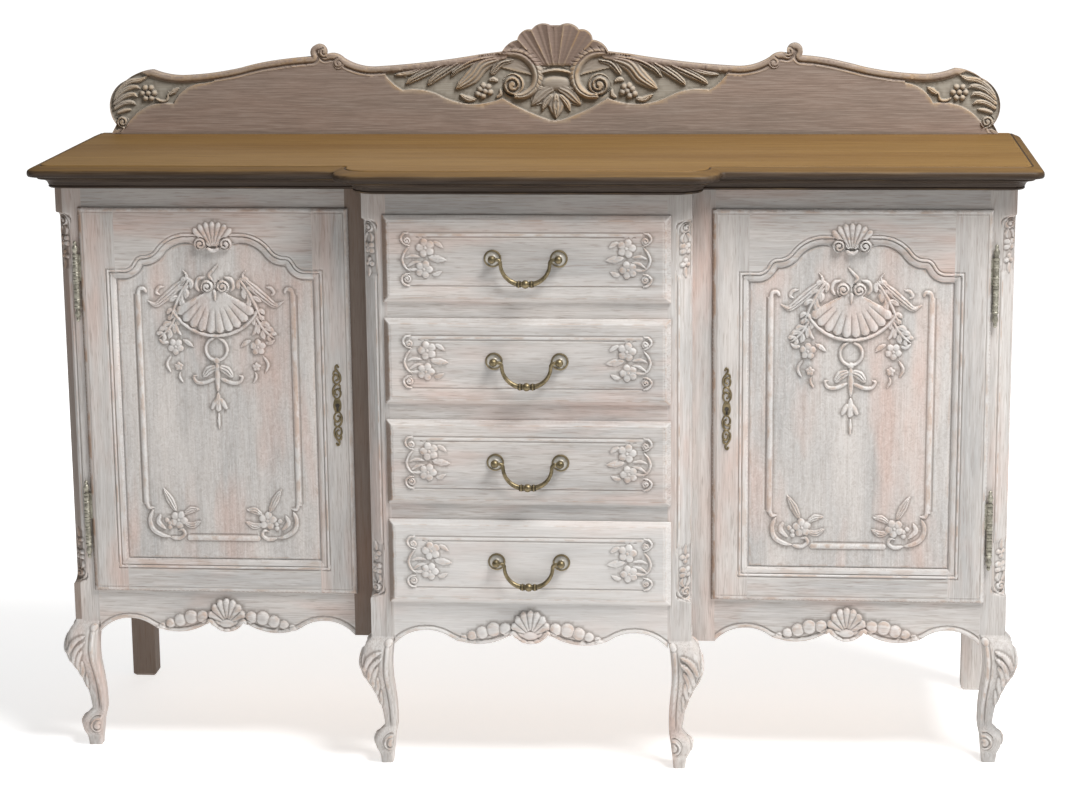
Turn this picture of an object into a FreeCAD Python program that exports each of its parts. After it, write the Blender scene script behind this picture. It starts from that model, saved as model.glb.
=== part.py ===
import FreeCAD, Part
import math
import operator
import os
import Sketcher
from FreeCAD import Vector

doc = FreeCAD.newDocument("breakfront_sideboard")

# Driving sizes in millimetres. X runs to the right, Y to the back, Z up from the floor.
driving = {
    # whole piece
    "overall_width": 1740,
    "top_height": 1066,
    "carcass_depth": 444,
    "breakfront": 63,
    "overhang": 42,
    # top board and cornice
    "top_thickness": 20,
    "rim_width": 18,
    "rim_drop": 6,
    "outer_corner": 22,
    "front_corner": 45,
    "flare": 6,
    "cornice_height": 22,
    "cornice_reach": 28,
    "cornice_cove": 15,
    # gallery
    "gallery_height": 201,
    "gallery_thickness": 17,
    "gallery_relief": 5,
    "crest_relief": 10,
    "crest_shift": 12,
    "dowel_radius": 5,
    "dowel_depth": 12,
    # posts, legs and carcass timbers
    "post_width": 45,
    "post_depth": 45,
    "back_post_depth": 38,
    "pilaster_outer": 281,
    "pilaster_width": 41,
    "stile_width": 39,
    "stile_foot": 220,
    "leg_height": 242,
    "leg_swell": 18.5,
    "ankle_inset": 21,
    "foot_inset": 14.5,
    "back_foot_bevel": 5,
    "frame_thickness": 22,
    "side_rail_thickness": 20,
    "side_rail_height": 62,
    "side_rail_foot": 250,
    "side_panel_thickness": 10,
    "side_groove": 6,
    "back_thickness": 12,
    "back_rail_height": 40,
    "board_thickness": 18,
    "partition_thickness": 20,
    "shelf_height": 642,
    "shelf_setback": 60,
    "cleat_width": 15,
    "cleat_height": 20,
    # aprons, measured down from their top edge
    "apron_end": 85,
    "apron_arch": 59,
    "apron_turn": 72,
    "apron_lobe": 83,
    "apron_cusp": 63,
    "apron_shell_foot": 82,
    "apron_shell_head": 22,
    "apron_relief": 7,
    # doors
    "door_foot": 298,
    "door_head_space": 56,
    "lip": 6,
    "door_proud": 7,
    "door_back": 19,
    "fit_gap": 1.5,
    "door_stile": 55,
    "door_rail": 49,
    "door_bevel": 5,
    "groove_depth": 8,
    "groove_front": 4,
    "panel_plate": 8,
    "panel_play": 0.1,
    "panel_field": 14,
    "panel_raise": 5,
    "ledge_drop": 114,
    "step_drop": 92,
    "arch_drop": 50,
    "shell_drop": 21,
    "shell_relief": 6,
    # hinges
    "hinge_gap": 0.5,
    "hinge_proud": 8,
    "hinge_low_inset": 132,
    "hinge_high_inset": 130,
    "knuckle_radius": 5.5,
    "knuckle_length": 48,
    "finial_length": 24,
    "pin_radius": 2,
    "pin_length": 38,
    "running_fit": 0.05,
    "thrust_gap": 0.3,
    "leaf_thickness": 2,
    "leaf_depth": 14,
    # lock and escutcheon
    "lock_height": 642,
    "lock_width": 46,
    "lock_length": 70,
    "lock_depth": 12,
    "lock_setback": 3,
    "bolt_length": 30,
    "bolt_width": 14,
    "bolt_thickness": 5.6,
    "bolt_gap": 0.2,
    "keyhole_radius": 3,
    "keyhole_inset": 26,
    "escutcheon_length": 148,
    "escutcheon_thickness": 1.6,
    # drawers
    "drawer_foot": 304,
    "drawer_head_space": 58,
    "drawer_space": 28,
    "drawer_proud": 9.5,
    "drawer_bevel": 10,
    "drawer_bevel_drop": 4,
    "drawer_block": 22,
    "drawer_side": 12,
    "drawer_bottom": 8,
    "drawer_rear_gap": 13,
    "slide_gap": 0.3,
    "runner_width": 36,
    "runner_height": 20,
    # handles
    "handle_half": 56.5,
    "handle_rise": 2,
    "rosette_radius": 15,
    "stand_off": 14,
    "ball_radius": 7,
    "shank_radius": 3,
    "bail_radius": 3,
    "bail_pin": 2.5,
    "bail_knob": 6.5,
    "collar_radius": 5.2,
}

sheet = doc.addObject("Spreadsheet::Sheet", "Sizes")
for row, (cell_name, number) in enumerate(driving.items(), 1):
    sheet.set(f"A{row}", cell_name)
    sheet.set(f"B{row}", str(number))
    sheet.setAlias(f"B{row}", cell_name)
doc.recompute()


class Size:
    # A length worked out from cells: the expression that binds it, and its value.
    signs = {"+": operator.add, "-": operator.sub, "*": operator.mul, "/": operator.truediv}

    def __init__(self, text, value):
        self.text = text
        self.value = value

    def join(self, sign, other, swapped=False):
        first, second = self, as_size(other)
        if swapped:
            first, second = second, first
        value = Size.signs[sign](first.value, second.value)
        return Size(f"({first.text} {sign} {second.text})", value)

    def __add__(self, other):
        return self.join("+", other)

    def __radd__(self, other):
        return self.join("+", other, True)

    def __sub__(self, other):
        return self.join("-", other)

    def __rsub__(self, other):
        return self.join("-", other, True)

    def __mul__(self, other):
        return self.join("*", other)

    def __rmul__(self, other):
        return self.join("*", other, True)

    def __truediv__(self, other):
        return self.join("/", other)

    def __neg__(self):
        return self.join("*", -1)


def as_size(item):
    return item if isinstance(item, Size) else Size(repr(float(item)), float(item))


class Cells:
    def __getattr__(self, name):
        return Size(f"Sizes.{name}", float(sheet.get(name)))


s = Cells()


def bind(item, prop, size):
    item.setExpression(prop, as_size(size).text)


def sided(side, low, high):
    # A span given for the right-hand half, or its mirror image on the left.
    return (low, high) if side > 0 else (-high, -low)


def box(name, x, y, z):
    item = doc.addObject("Part::Box", name)
    for prop, axis, (low, high) in (("Length", "x", x), ("Width", "y", y), ("Height", "z", z)):
        bind(item, prop, as_size(high) - low)
        bind(item, f"Placement.Base.{axis}", low)
    return item


def rod(name, radius, length, place, toward):
    # A round rod from a point along a direction.
    item = doc.addObject("Part::Cylinder", name)
    item.Placement.Rotation = FreeCAD.Rotation(Vector(0, 0, 1), Vector(*toward))
    bind(item, "Radius", radius)
    bind(item, "Height", length)
    for axis, value in zip("xyz", place):
        bind(item, f"Placement.Base.{axis}", value)
    return item


def group(name, items):
    item = doc.addObject("Part::Compound", name)
    item.Links = items
    return item


def fuse(name, items):
    item = doc.addObject("Part::MultiFuse", name)
    item.Shapes = items
    item.Refine = True
    return item


def cut(name, base, tools):
    item = doc.addObject("Part::Cut", name)
    item.Base = base
    item.Tool = tools[0] if len(tools) == 1 else fuse(f"{name}_tools", tools)
    return item


def new_sketch(body, plane, name):
    sketch = body.newObject("Sketcher::SketchObject", name)
    planes = {feature.Role: feature for feature in body.Origin.OriginFeatures}
    sketch.AttachmentSupport = (planes[plane], [""])
    sketch.MapMode = "FlatFace"
    return sketch


def point(pair):
    return Vector(as_size(pair[0]).value, as_size(pair[1]).value, 0)


def draw(sketch, outline):
    # Pairs are straight runs, fours are arcs through a middle point.
    corners = [step[-2:] for step in outline]
    steps = outline[1:] + [corners[0]]
    runs = []
    rules = []
    places = []
    for start, step in zip(corners, steps):
        begin, end = point(start), point(step[-2:])
        if len(step) == 2:
            edge = sketch.addGeometry(Part.LineSegment(begin, end), False)
            runs.append((edge, 1, 2))
            continue
        middle = point(step[:2])
        left_turn = (middle - begin).cross(end - middle).z > 0
        arc = Part.Arc(begin, middle, end) if left_turn else Part.Arc(end, middle, begin)
        edge = sketch.addGeometry(arc, False)
        runs.append((edge, 1, 2) if left_turn else (edge, 2, 1))
        mark = sketch.addGeometry(Part.Point(middle), True)
        rules.append(Sketcher.Constraint("PointOnObject", mark, 1, edge))
        places.append((mark, 1, step[:2]))
    for (edge, first, last), following in zip(runs, runs[1:] + runs[:1]):
        rules.append(Sketcher.Constraint("Coincident", edge, last, following[0], following[1]))
    for (edge, first, last), corner in zip(runs, corners):
        places.append((edge, first, corner))
    sketch.addConstraint(rules)
    for edge, end, pair in places:
        for rule, value in zip(("DistanceX", "DistanceY"), pair):
            size = as_size(value)
            index = sketch.addConstraint(Sketcher.Constraint(rule, -1, 1, edge, end, size.value))
            if isinstance(value, Size):
                bind(sketch, f"Constraints[{index}]", size)


def prism(name, plane, outline, start, depth):
    # An outline drawn on XY, XZ or YZ, grown along +Z, +Y or +X.
    body = doc.addObject("PartDesign::Body", name)
    sketch = new_sketch(body, f"{plane}_Plane", f"{name}_sketch")
    draw(sketch, outline)
    pad = body.newObject("PartDesign::Pad", f"{name}_pad")
    pad.Profile = sketch
    pad.Reversed = plane == "XZ"
    bind(pad, "Length", depth)
    axis = {"XY": "z", "XZ": "y", "YZ": "x"}[plane]
    bind(body, f"Placement.Base.{axis}", start)
    return body


def bevel(body, chosen, side, face):
    # A bevel cut down the side and back across the face of the chosen edges.
    doc.recompute()
    base = body.Tip
    names = [f"Edge{k}" for k, edge in enumerate(base.Shape.Edges, 1) if chosen(edge.BoundBox)]
    item = body.newObject("PartDesign::Chamfer", f"{body.Name}_bevel")
    item.Base = (base, names)
    item.ChamferType = "Two distances"
    bind(item, "Size", side)
    bind(item, "Size2", face)
    return body


def turned(name, plane, profile, place):
    # A turned piece: radius first, then length along the sketch's upright axis.
    body = doc.addObject("PartDesign::Body", name)
    sketch = new_sketch(body, f"{plane}_Plane", f"{name}_sketch")
    draw(sketch, profile)
    turn = body.newObject("PartDesign::Revolution", f"{name}_turn")
    turn.Profile = sketch
    turn.ReferenceAxis = (sketch, ["V_Axis"])
    turn.Angle = 360
    for axis, value in zip("xyz", place):
        bind(body, f"Placement.Base.{axis}", value)
    return body


def flip(step):
    return tuple(-value if k % 2 == 0 else value for k, value in enumerate(step))


def mirrored(path):
    # A right-hand path followed by its mirror image, walked back.
    back = [flip(path[-1][-2:])]
    for index in range(len(path) - 1, 0, -1):
        back.append(flip(path[index][:-2] + path[index - 1][-2:]))
    return path + back


def moved(outline, x, z):
    return [tuple(value + (x, z)[k % 2] for k, value in enumerate(step)) for step in outline]


parts = []


def node(item, label):
    item.Label = label
    parts.append(item)
    return item


sides = ((-1, "left"), (1, "right"))

# Main planes shared by the pieces
back_y = (s.overhang + s.breakfront + s.carcass_depth) / 2
wing_y = back_y - s.carcass_depth
center_y = wing_y - s.breakfront
body_half = s.overall_width / 2 - s.overhang
post_inner = body_half - s.post_width
joint_x = s.pilaster_outer + s.stile_width
pilaster_inner = s.pilaster_outer - s.pilaster_width
partition_inner = s.pilaster_outer - s.partition_thickness
carcass_top = s.top_height - s.top_thickness
cornice_foot = carcass_top - s.cornice_height
back_post_y = back_y - s.back_post_depth
back_panel_y = back_y - s.back_thickness
back_rail_y = back_panel_y - s.frame_thickness
apron_top = s.door_foot + s.lip
door_head = carcass_top - s.door_head_space
drawer_head = carcass_top - s.drawer_head_space
head_rail = door_head - s.lip
near_45 = 1 - math.sqrt(0.5)


def plan(reach):
    # Half the plan of the front edge at a given reach beyond the carcass.
    side_x = body_half + reach
    wing_edge = wing_y - reach
    step_x = s.pilaster_outer + reach + s.flare
    center_edge = center_y - reach
    return [
        (side_x, back_y),
        (side_x, wing_edge + s.outer_corner),
        (side_x - s.outer_corner * near_45, wing_edge + s.outer_corner * near_45,
         side_x - s.outer_corner, wing_edge),
        (step_x, wing_edge),
        (step_x, center_edge + s.front_corner),
        (step_x - s.front_corner * near_45, center_edge + s.front_corner * near_45,
         step_x - s.front_corner, center_edge),
    ]


# Gallery dowels and the holes for them
dowel_x = [body_half * share * side for share in (0.18, 0.54, 0.88) for side in (-1, 1)]
gallery_y = back_y - s.gallery_thickness


def dowels(name, growth):
    length = s.dowel_depth * 2 + growth * 2
    place_y = gallery_y + s.gallery_thickness / 2
    foot = s.top_height - s.dowel_depth - growth
    return [rod(f"{name}_{k}", s.dowel_radius + growth, length, (x, place_y, foot), (0, 0, 1))
            for k, x in enumerate(dowel_x)]


node(group("gallery_dowels", dowels("dowel", 0)), "gallery_dowels")

# Top board with a sloped rim and an eased lower edge
board = prism("board", "XY", mirrored(plan(s.overhang)), carcass_top, s.top_thickness)
board_back = back_y.value - 1
bevel(board, lambda b: b.ZMin > s.top_thickness.value - 0.01 and b.YMin < board_back,
      s.rim_drop, s.rim_width)
bevel(board, lambda b: b.ZMax < 0.01 and b.YMin < board_back, s.rim_drop / 2, s.rim_drop / 2)
node(cut("top_board", board, dowels("dowel_hole", s.running_fit)), "top_board")

# Cornice moulding round the front and sides, under the top board
inner_plan = [(body_half, back_y), (body_half, wing_y), (s.pilaster_outer, wing_y),
              (s.pilaster_outer, center_y)]
inner_path = mirrored(inner_plan)
inner_path.reverse()
cornice = prism("cornice", "XY", mirrored(plan(s.cornice_reach)) + inner_path,
                cornice_foot, s.cornice_height)


def outer_foot(b):
    # Edges under the cornice that lie outside the carcass faces.
    wide = max(abs(b.XMin), abs(b.XMax)) > body_half.value + 1
    ahead_wing = b.YMax < wing_y.value - 1 and abs(b.XMin + b.XMax) / 2 > s.pilaster_outer.value
    ahead_center = b.YMax < center_y.value - 1
    past_step = b.YMin < wing_y.value and min(abs(b.XMin), abs(b.XMax)) > s.pilaster_outer.value + 1
    at_back = b.YMin > back_y.value - 0.01
    return b.ZMax < 0.01 and not at_back and (wide or ahead_wing or ahead_center or past_step)


bevel(cornice, outer_foot, s.cornice_cove, s.cornice_reach * 0.7)
node(cornice, "cornice")

# Gallery: a shaped board, a raised border and a shell crest
tall = s.gallery_height / 201
span = body_half / 828


def gallery_path(steps):
    # Steps measured from the middle and the foot; the carving keeps to one side of centre.
    whole = mirrored([tuple((span, tall)[k % 2] * value for k, value in enumerate(step))
                      for step in steps])
    shifted = []
    for step in whole:
        near = [abs(value.value) < 0.6 * body_half.value for value in step[::2]]
        values = [value + s.crest_shift if k % 2 == 0 and near[k // 2] else value
                  for k, value in enumerate(step)]
        shifted.append(tuple(values))
    return shifted


crest_line = [
    (828, 0),
    (818, 18),
    (829, 58, 796, 101),
    (774, 114, 746, 120),
    (722, 112.5, 690, 109),
    (637, 113, 579, 123),
    (516, 137, 454, 144),
    (441, 167, 428, 148),
    (415, 150, 396, 141),
    (372, 129.5, 330, 125),
    (236, 133, 139, 147),
    (98, 152),
    (86, 167, 69, 173),
    (63, 187, 44, 192),
    (27, 203, 9, 200),
]
border_line = [
    (800, 13),
    (772, 43, 707, 56),
    (686, 82, 650, 94),
    (560, 111, 452, 128),
    (424, 120),
    (380, 117, 318, 111),
    (306, 96, 285, 81),
    (252, 82, 215, 71),
    (150, 55, 98, 66),
    (58, 44, 10, 25),
]
relief_y = gallery_y - s.gallery_relief
gallery_board = prism("gallery_board", "XZ", moved(gallery_path(crest_line), 0, s.top_height),
                      gallery_y, s.gallery_thickness)
border_back = gallery_path(border_line)
border_ends = [step[-2:] for step in border_back]
border_return = [border_ends[-1]]
for index in range(len(border_back) - 1, 0, -1):
    border_return.append(border_back[index][:-2] + border_ends[index - 1])
gallery_border = prism("gallery_border", "XZ",
                       moved(gallery_path(crest_line)[1:-1] + border_return, 0, s.top_height),
                       relief_y, s.gallery_relief)
shell_line = [(60, 118), (98, 140, 98, 152), (86, 167, 69, 173), (63, 187, 44, 192), (27, 203, 9, 200)]
crest_shell = prism("crest_shell", "XZ", moved(gallery_path(shell_line), 0, s.top_height),
                    gallery_y - s.crest_relief, s.crest_relief)
gallery_whole = fuse("gallery_whole", [gallery_board, gallery_border, crest_shell])
node(cut("gallery", gallery_whole, dowels("gallery_hole", s.running_fit)), "gallery")

# Cabriole legs: share of the height, share of the swell outward, heel as a share of the width
leg_sections = [
    (1.00, 0.00, 1.00), (0.945, 0.35, 0.96), (0.89, 0.70, 0.92), (0.78, 1.00, 0.89),
    (0.69, 0.76, 0.92), (0.615, 0.24, 0.945), (0.53, -0.27, 1.00), (0.43, -0.78, 1.03),
]
foot_sections = [
    (0.34, 0.0, 1.05), (0.29, 0.02, 1.04), (0.25, -0.60, 1.00), (0.215, -0.90, 0.955),
    (0.185, -0.97, 0.93), (0.125, -0.80, 0.90), (0.07, -0.48, 0.845), (0.0, -0.31, 0.80),
]


def rounded(x_low, x_high, y_low, y_high, z, radius):
    turn = radius * near_45
    x_in, x_out, y_in, y_out = x_low + radius, x_high - radius, y_low + radius, y_high - radius
    corners = [
        ((x_in, y_low), (x_out, y_low), (x_high - turn, y_low + turn), (x_high, y_in)),
        ((x_high, y_in), (x_high, y_out), (x_high - turn, y_high - turn), (x_out, y_high)),
        ((x_out, y_high), (x_in, y_high), (x_low + turn, y_high - turn), (x_low, y_out)),
        ((x_low, y_out), (x_low, y_in), (x_low + turn, y_low + turn), (x_in, y_low)),
    ]
    edges = []
    for start, corner, middle, end in corners:
        edges.append(Part.makeLine(Vector(*start, z), Vector(*corner, z)))
        edges.append(Part.Arc(Vector(*corner, z), Vector(*middle, z), Vector(*end, z)).toShape())
    return Part.Wire(edges)


def leg(name, side, outer, front, width, depth):
    wires = []
    for share, swell, heel in leg_sections + foot_sections:
        out = s.leg_swell.value * swell
        if share < 0.4:
            out = -s.ankle_inset.value * (1 + swell)
        if share == 0.0:
            out = -s.foot_inset.value
        x_far, x_near = outer.value + out, outer.value - width.value * heel
        y_far, y_near = front.value - out, front.value + depth.value * heel
        x_low, x_high = (x_near, x_far) if side > 0 else (-x_far, -x_near)
        radius = 2 if share == 1.0 else 0.22 * (x_high - x_low)
        wires.append(rounded(x_low, x_high, y_far, y_near, s.leg_height.value * share, radius))
    item = doc.addObject("Part::Feature", name)
    item.Shape = Part.makeLoft(wires, True, True)
    return item


hinge_x = post_inner + s.lip + s.knuckle_radius + s.hinge_gap
hinge_y = wing_y - s.hinge_proud
hinge_levels = (s.door_foot + s.hinge_low_inset, door_head - s.hinge_high_inset)


def post_leaf(name, side, level, growth):
    half = s.leaf_thickness / 2 + growth
    return box(name, sided(side, hinge_x - half, hinge_x + half),
               (hinge_y, wing_y + s.leaf_depth + growth),
               (level - s.knuckle_length - growth, level + growth))


# Posts
for side, hand in sides:
    upright = box(f"post_{hand}", sided(side, post_inner, body_half),
                  (wing_y, wing_y + s.post_depth), (s.leg_height, carcass_top))
    foot = leg(f"leg_outer_{hand}", side, body_half, wing_y, s.post_width, s.post_depth)
    slots = [post_leaf(f"post_slot_{hand}_{k}", side, level, s.running_fit)
             for k, level in enumerate(hinge_levels)]
    node(cut(f"post_outer_{hand}", fuse(f"post_blank_{hand}", [upright, foot]), slots),
         f"post_outer_{hand}")

    upright = box(f"pilaster_{hand}", sided(side, pilaster_inner, s.pilaster_outer),
                  (center_y, center_y + s.post_depth), (s.leg_height, carcass_top))
    foot = leg(f"leg_inner_{hand}", side, s.pilaster_outer, center_y, s.pilaster_width, s.post_depth)
    node(fuse(f"post_inner_{hand}", [upright, foot]), f"post_inner_{hand}")

    x_low, x_high = sided(side, post_inner, body_half)
    rear = prism(f"post_back_{hand}", "XY",
                 [(x_low, back_post_y), (x_high, back_post_y), (x_high, back_y), (x_low, back_y)],
                 0, carcass_top)
    bevel(rear, lambda b: b.ZMax < 0.01, s.back_foot_bevel, s.back_foot_bevel)
    node(rear, f"post_back_{hand}")

    node(box(f"stile_{hand}", sided(side, s.pilaster_outer, joint_x),
             (wing_y, wing_y + s.frame_thickness), (s.stile_foot, carcass_top)), f"stile_{hand}")

# Side frames: rails grooved for a panel
side_outer = body_half - 2
side_inner = side_outer - s.side_rail_thickness
panel_out = side_inner + (s.side_rail_thickness + s.side_panel_thickness) / 2
panel_in = panel_out - s.side_panel_thickness
side_y = (wing_y + s.post_depth, back_post_y)
low_rail_top = s.side_rail_foot + s.side_rail_height
high_rail_foot = carcass_top - s.side_rail_height
side_rails = []
for side, hand in sides:
    panel_z = (low_rail_top - s.side_groove, high_rail_foot + s.side_groove)
    node(box(f"side_panel_{hand}", sided(side, panel_in, panel_out), side_y, panel_z),
         f"side_panel_{hand}")
    for level, foot, top in (("low", s.side_rail_foot, low_rail_top), ("high", high_rail_foot, carcass_top)):
        rail = box(f"side_rail_{level}_{hand}", sided(side, side_inner, side_outer), side_y, (foot, top))
        groove = box(f"side_groove_{level}_{hand}",
                     sided(side, panel_in, panel_out), side_y, panel_z)
        side_rails.append(cut(f"side_rail_cut_{level}_{hand}", rail, [groove]))
node(group("side_rails", side_rails), "side_rails")

# Back panel and rails
back_x = (-post_inner, post_inner)
floor_foot = apron_top - s.board_thickness
back_low = floor_foot - s.back_rail_height * 0.6
node(box("back_panel", back_x, (back_panel_y, back_y), (back_low, carcass_top)), "back_panel")
back_rail_y_span = (back_rail_y, back_panel_y)
back_rail_levels = ((back_low, floor_foot), (carcass_top - s.back_rail_height, carcass_top))
node(group("back_rails", [box(f"back_rail_{k}", back_x, back_rail_y_span, level)
                          for k, level in enumerate(back_rail_levels)]), "back_rails")

# Partitions, notched over the back rails
partition_front = center_y + s.post_depth
for side, hand in sides:
    x = sided(side, partition_inner, s.pilaster_outer)
    blank = box(f"partition_blank_{hand}", x, (partition_front, back_panel_y),
                (s.side_rail_foot, carcass_top))
    notches = [box(f"partition_notch_{hand}_{k}", x, back_rail_y_span, level)
               for k, level in enumerate(back_rail_levels)]
    node(cut(f"partition_{hand}", blank, notches), f"partition_{hand}")

# Rails over the doors and over the drawers
drawer_step = (drawer_head - s.drawer_foot + s.drawer_space) / 4
drawer_height = drawer_step - s.drawer_space
wing_frame = (wing_y, wing_y + s.frame_thickness)
center_frame = (center_y, center_y + s.frame_thickness)
center_x = (-pilaster_inner, pilaster_inner)
top_rails = [box(f"top_rail_{hand}", sided(side, joint_x, post_inner), wing_frame,
                 (head_rail, carcass_top)) for side, hand in sides]
top_rails.append(box("top_rail_center", center_x, center_frame, (drawer_head - s.lip, carcass_top)))
node(group("top_rails", top_rails), "top_rails")

# Aprons with a scalloped lower edge and a raised shell
wing_mid = (joint_x + post_inner) / 2
wing_half = (post_inner - joint_x) / 2


def apron(name, middle, half, top, front):
    low_line = [
        (half, top - s.apron_end),
        (half * 0.79, top - s.apron_arch, half * 0.585, top - s.apron_turn),
        (half * 0.40, top - s.apron_lobe, half * 0.13, top - s.apron_cusp),
    ]
    scallop = mirrored(low_line)
    shell_low = (0, top - s.apron_shell_foot)
    scallop[3] = shell_low + scallop[3]
    outline = moved([(half, top)] + scallop + [(-half, top)], middle, 0)
    plate = prism(f"{name}_plate", "XZ", outline, front, s.frame_thickness)
    cusp, crown = top - s.apron_cusp, top - s.apron_shell_head
    wide = half * 0.13
    fan = mirrored([(wide, cusp), (wide * 1.5, cusp + 14), (wide * 0.95, crown - 7, 4, crown)])
    outline = [fan[-1], shell_low + fan[0]] + fan[1:-1]
    relief = prism(f"{name}_shell", "XZ", moved(outline, middle, 0),
                   front - s.apron_relief, s.apron_relief)
    return fuse(name, [plate, relief])


for side, hand in sides:
    node(apron(f"apron_{hand}", wing_mid * side, wing_half, apron_top, wing_y), f"apron_{hand}")
node(apron("apron_center", as_size(0), pilaster_inner, s.drawer_foot + s.lip,
           center_y), "apron_center")

# Cupboard floors, shelves and the cleats under the shelves
floors = []
shelves = []
cleats = []
shelf_y = (wing_y + s.shelf_setback, back_post_y - 2)
shelf_foot = s.shelf_height - s.board_thickness
for side, hand in sides:
    floor_z = (floor_foot, apron_top)
    blank = box(f"floor_blank_{hand}", sided(side, s.pilaster_outer, side_inner),
                (wing_y + s.frame_thickness, back_panel_y), floor_z)
    corner_x = sided(side, post_inner, side_inner)
    corners = [box(f"floor_corner_{hand}_{k}", corner_x, y, floor_z)
               for k, y in enumerate(((wing_y, wing_y + s.post_depth), (back_post_y, back_y)))]
    floors.append(cut(f"floor_{hand}", blank, corners))
    shelves.append(box(f"shelf_{hand}", sided(side, s.pilaster_outer + s.slide_gap, panel_in - s.slide_gap),
                       shelf_y, (shelf_foot, s.shelf_height)))
    for place, low in (("in", s.pilaster_outer), ("out", panel_in - s.cleat_width)):
        cleats.append(box(f"cleat_{place}_{hand}", sided(side, low, low + s.cleat_width), shelf_y,
                          (shelf_foot - s.cleat_height, shelf_foot)))
node(group("cupboard_floors", floors), "cupboard_floors")
node(group("shelves", shelves), "shelves")
node(group("shelf_cleats", cleats), "shelf_cleats")

# Rails between the drawers, and runners with guides
drawer_feet = [drawer_head - drawer_height - drawer_step * k for k in range(4)]
dividers = [box(f"divider_{k}", center_x, (center_y, partition_front),
                (drawer_feet[k + 1] + drawer_height - s.lip, drawer_feet[k] + s.lip))
            for k in range(3)]
node(group("drawer_dividers", dividers), "drawer_dividers")
runners = []
for k, foot in enumerate(drawer_feet):
    level = foot + s.lip
    for side, hand in sides:
        runner_y = (partition_front, back_rail_y)
        shelf = box(f"runner_{hand}_{k}", sided(side, partition_inner - s.runner_width, partition_inner),
                    runner_y, (level - s.runner_height, level))
        guide = box(f"guide_{hand}_{k}", sided(side, pilaster_inner, partition_inner),
                    runner_y, (level, level + s.runner_height))
        runners.append(fuse(f"runner_guide_{hand}_{k}", [shelf, guide]))
node(group("drawer_runners", runners), "drawer_runners")

# Drawers: lipped front, box, handle posts and bail
drawer_face = center_y - s.drawer_proud
drawer_half = pilaster_inner - s.fit_gap
box_front = center_y + s.drawer_block
box_back = back_rail_y - s.drawer_rear_gap
shank_length = s.drawer_proud + s.drawer_block * 0.7
pivot_y = drawer_face - s.stand_off
rod_end = s.handle_half - s.ball_radius - 1.5
elbow = s.bail_radius * 2
flat = (rod_end - elbow) / 7
bow = rod_end - elbow - flat


def handle_post(name, side, height):
    rose, ball, shank = s.rosette_radius, s.ball_radius, s.shank_radius
    neck = -(s.stand_off - ball * 0.8)
    profile = [
        (0, shank_length), (shank, shank_length), (shank, 0), (rose, 0), (rose, -1.5),
        (rose * 0.86, -3), (rose * 0.7, -2.4), (rose * 0.6, -4), (rose * 0.38, -3.4),
        (ball * 0.6, -5), (ball * 0.6, neck),
        (ball, -s.stand_off, 0, -s.stand_off - ball),
    ]
    post = turned(f"{name}_turned", "XY", profile, (s.handle_half * side, drawer_face, height))
    start = (s.handle_half - ball - 1) * side
    bore = rod(f"{name}_bore", s.bail_pin + s.running_fit, ball, (start, pivot_y, height), (side, 0, 0))
    return cut(name, post, [bore])


def bend(name, radius, x, z, quarter):
    # A quarter bend of the bail's rod. Quarters are counted from the right, upward first.
    item = doc.addObject("Part::Torus", name)
    item.Angle3 = 90
    upright = FreeCAD.Rotation(Vector(1, 0, 0), 90)
    item.Placement.Rotation = upright.multiply(FreeCAD.Rotation(Vector(0, 0, 1), 90 * quarter))
    bind(item, "Radius1", radius)
    bind(item, "Radius2", s.bail_radius)
    for axis, value in zip("xyz", (x, pivot_y, z)):
        bind(item, f"Placement.Base.{axis}", value)
    return item


def bail(name, height):
    low = height - elbow - bow
    knob = doc.addObject("Part::Sphere", f"{name}_knob")
    knob.Placement.Rotation = FreeCAD.Rotation(Vector(0, 1, 0), 90)
    bind(knob, "Radius", s.bail_knob)
    bind(knob, "Placement.Base.y", pivot_y)
    bind(knob, "Placement.Base.z", low)
    pieces = [knob, rod(f"{name}_middle", s.bail_radius, flat * 2, (-flat, pivot_y, low), (1, 0, 0))]
    for side, hand in sides:
        pieces += [
            rod(f"{name}_pin_{hand}", s.bail_pin, s.ball_radius, (rod_end * side, pivot_y, height),
                (side, 0, 0)),
            rod(f"{name}_collar_{hand}", s.collar_radius, 3, (s.bail_knob * 1.2 * side, pivot_y, low),
                (side, 0, 0)),
            bend(f"{name}_elbow_{hand}", elbow, rod_end * side, height - elbow, 1 if side > 0 else 0),
            bend(f"{name}_bow_{hand}", bow, flat * side, height - elbow, 3 if side > 0 else 2),
        ]
    return fuse(name, pieces)


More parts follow.
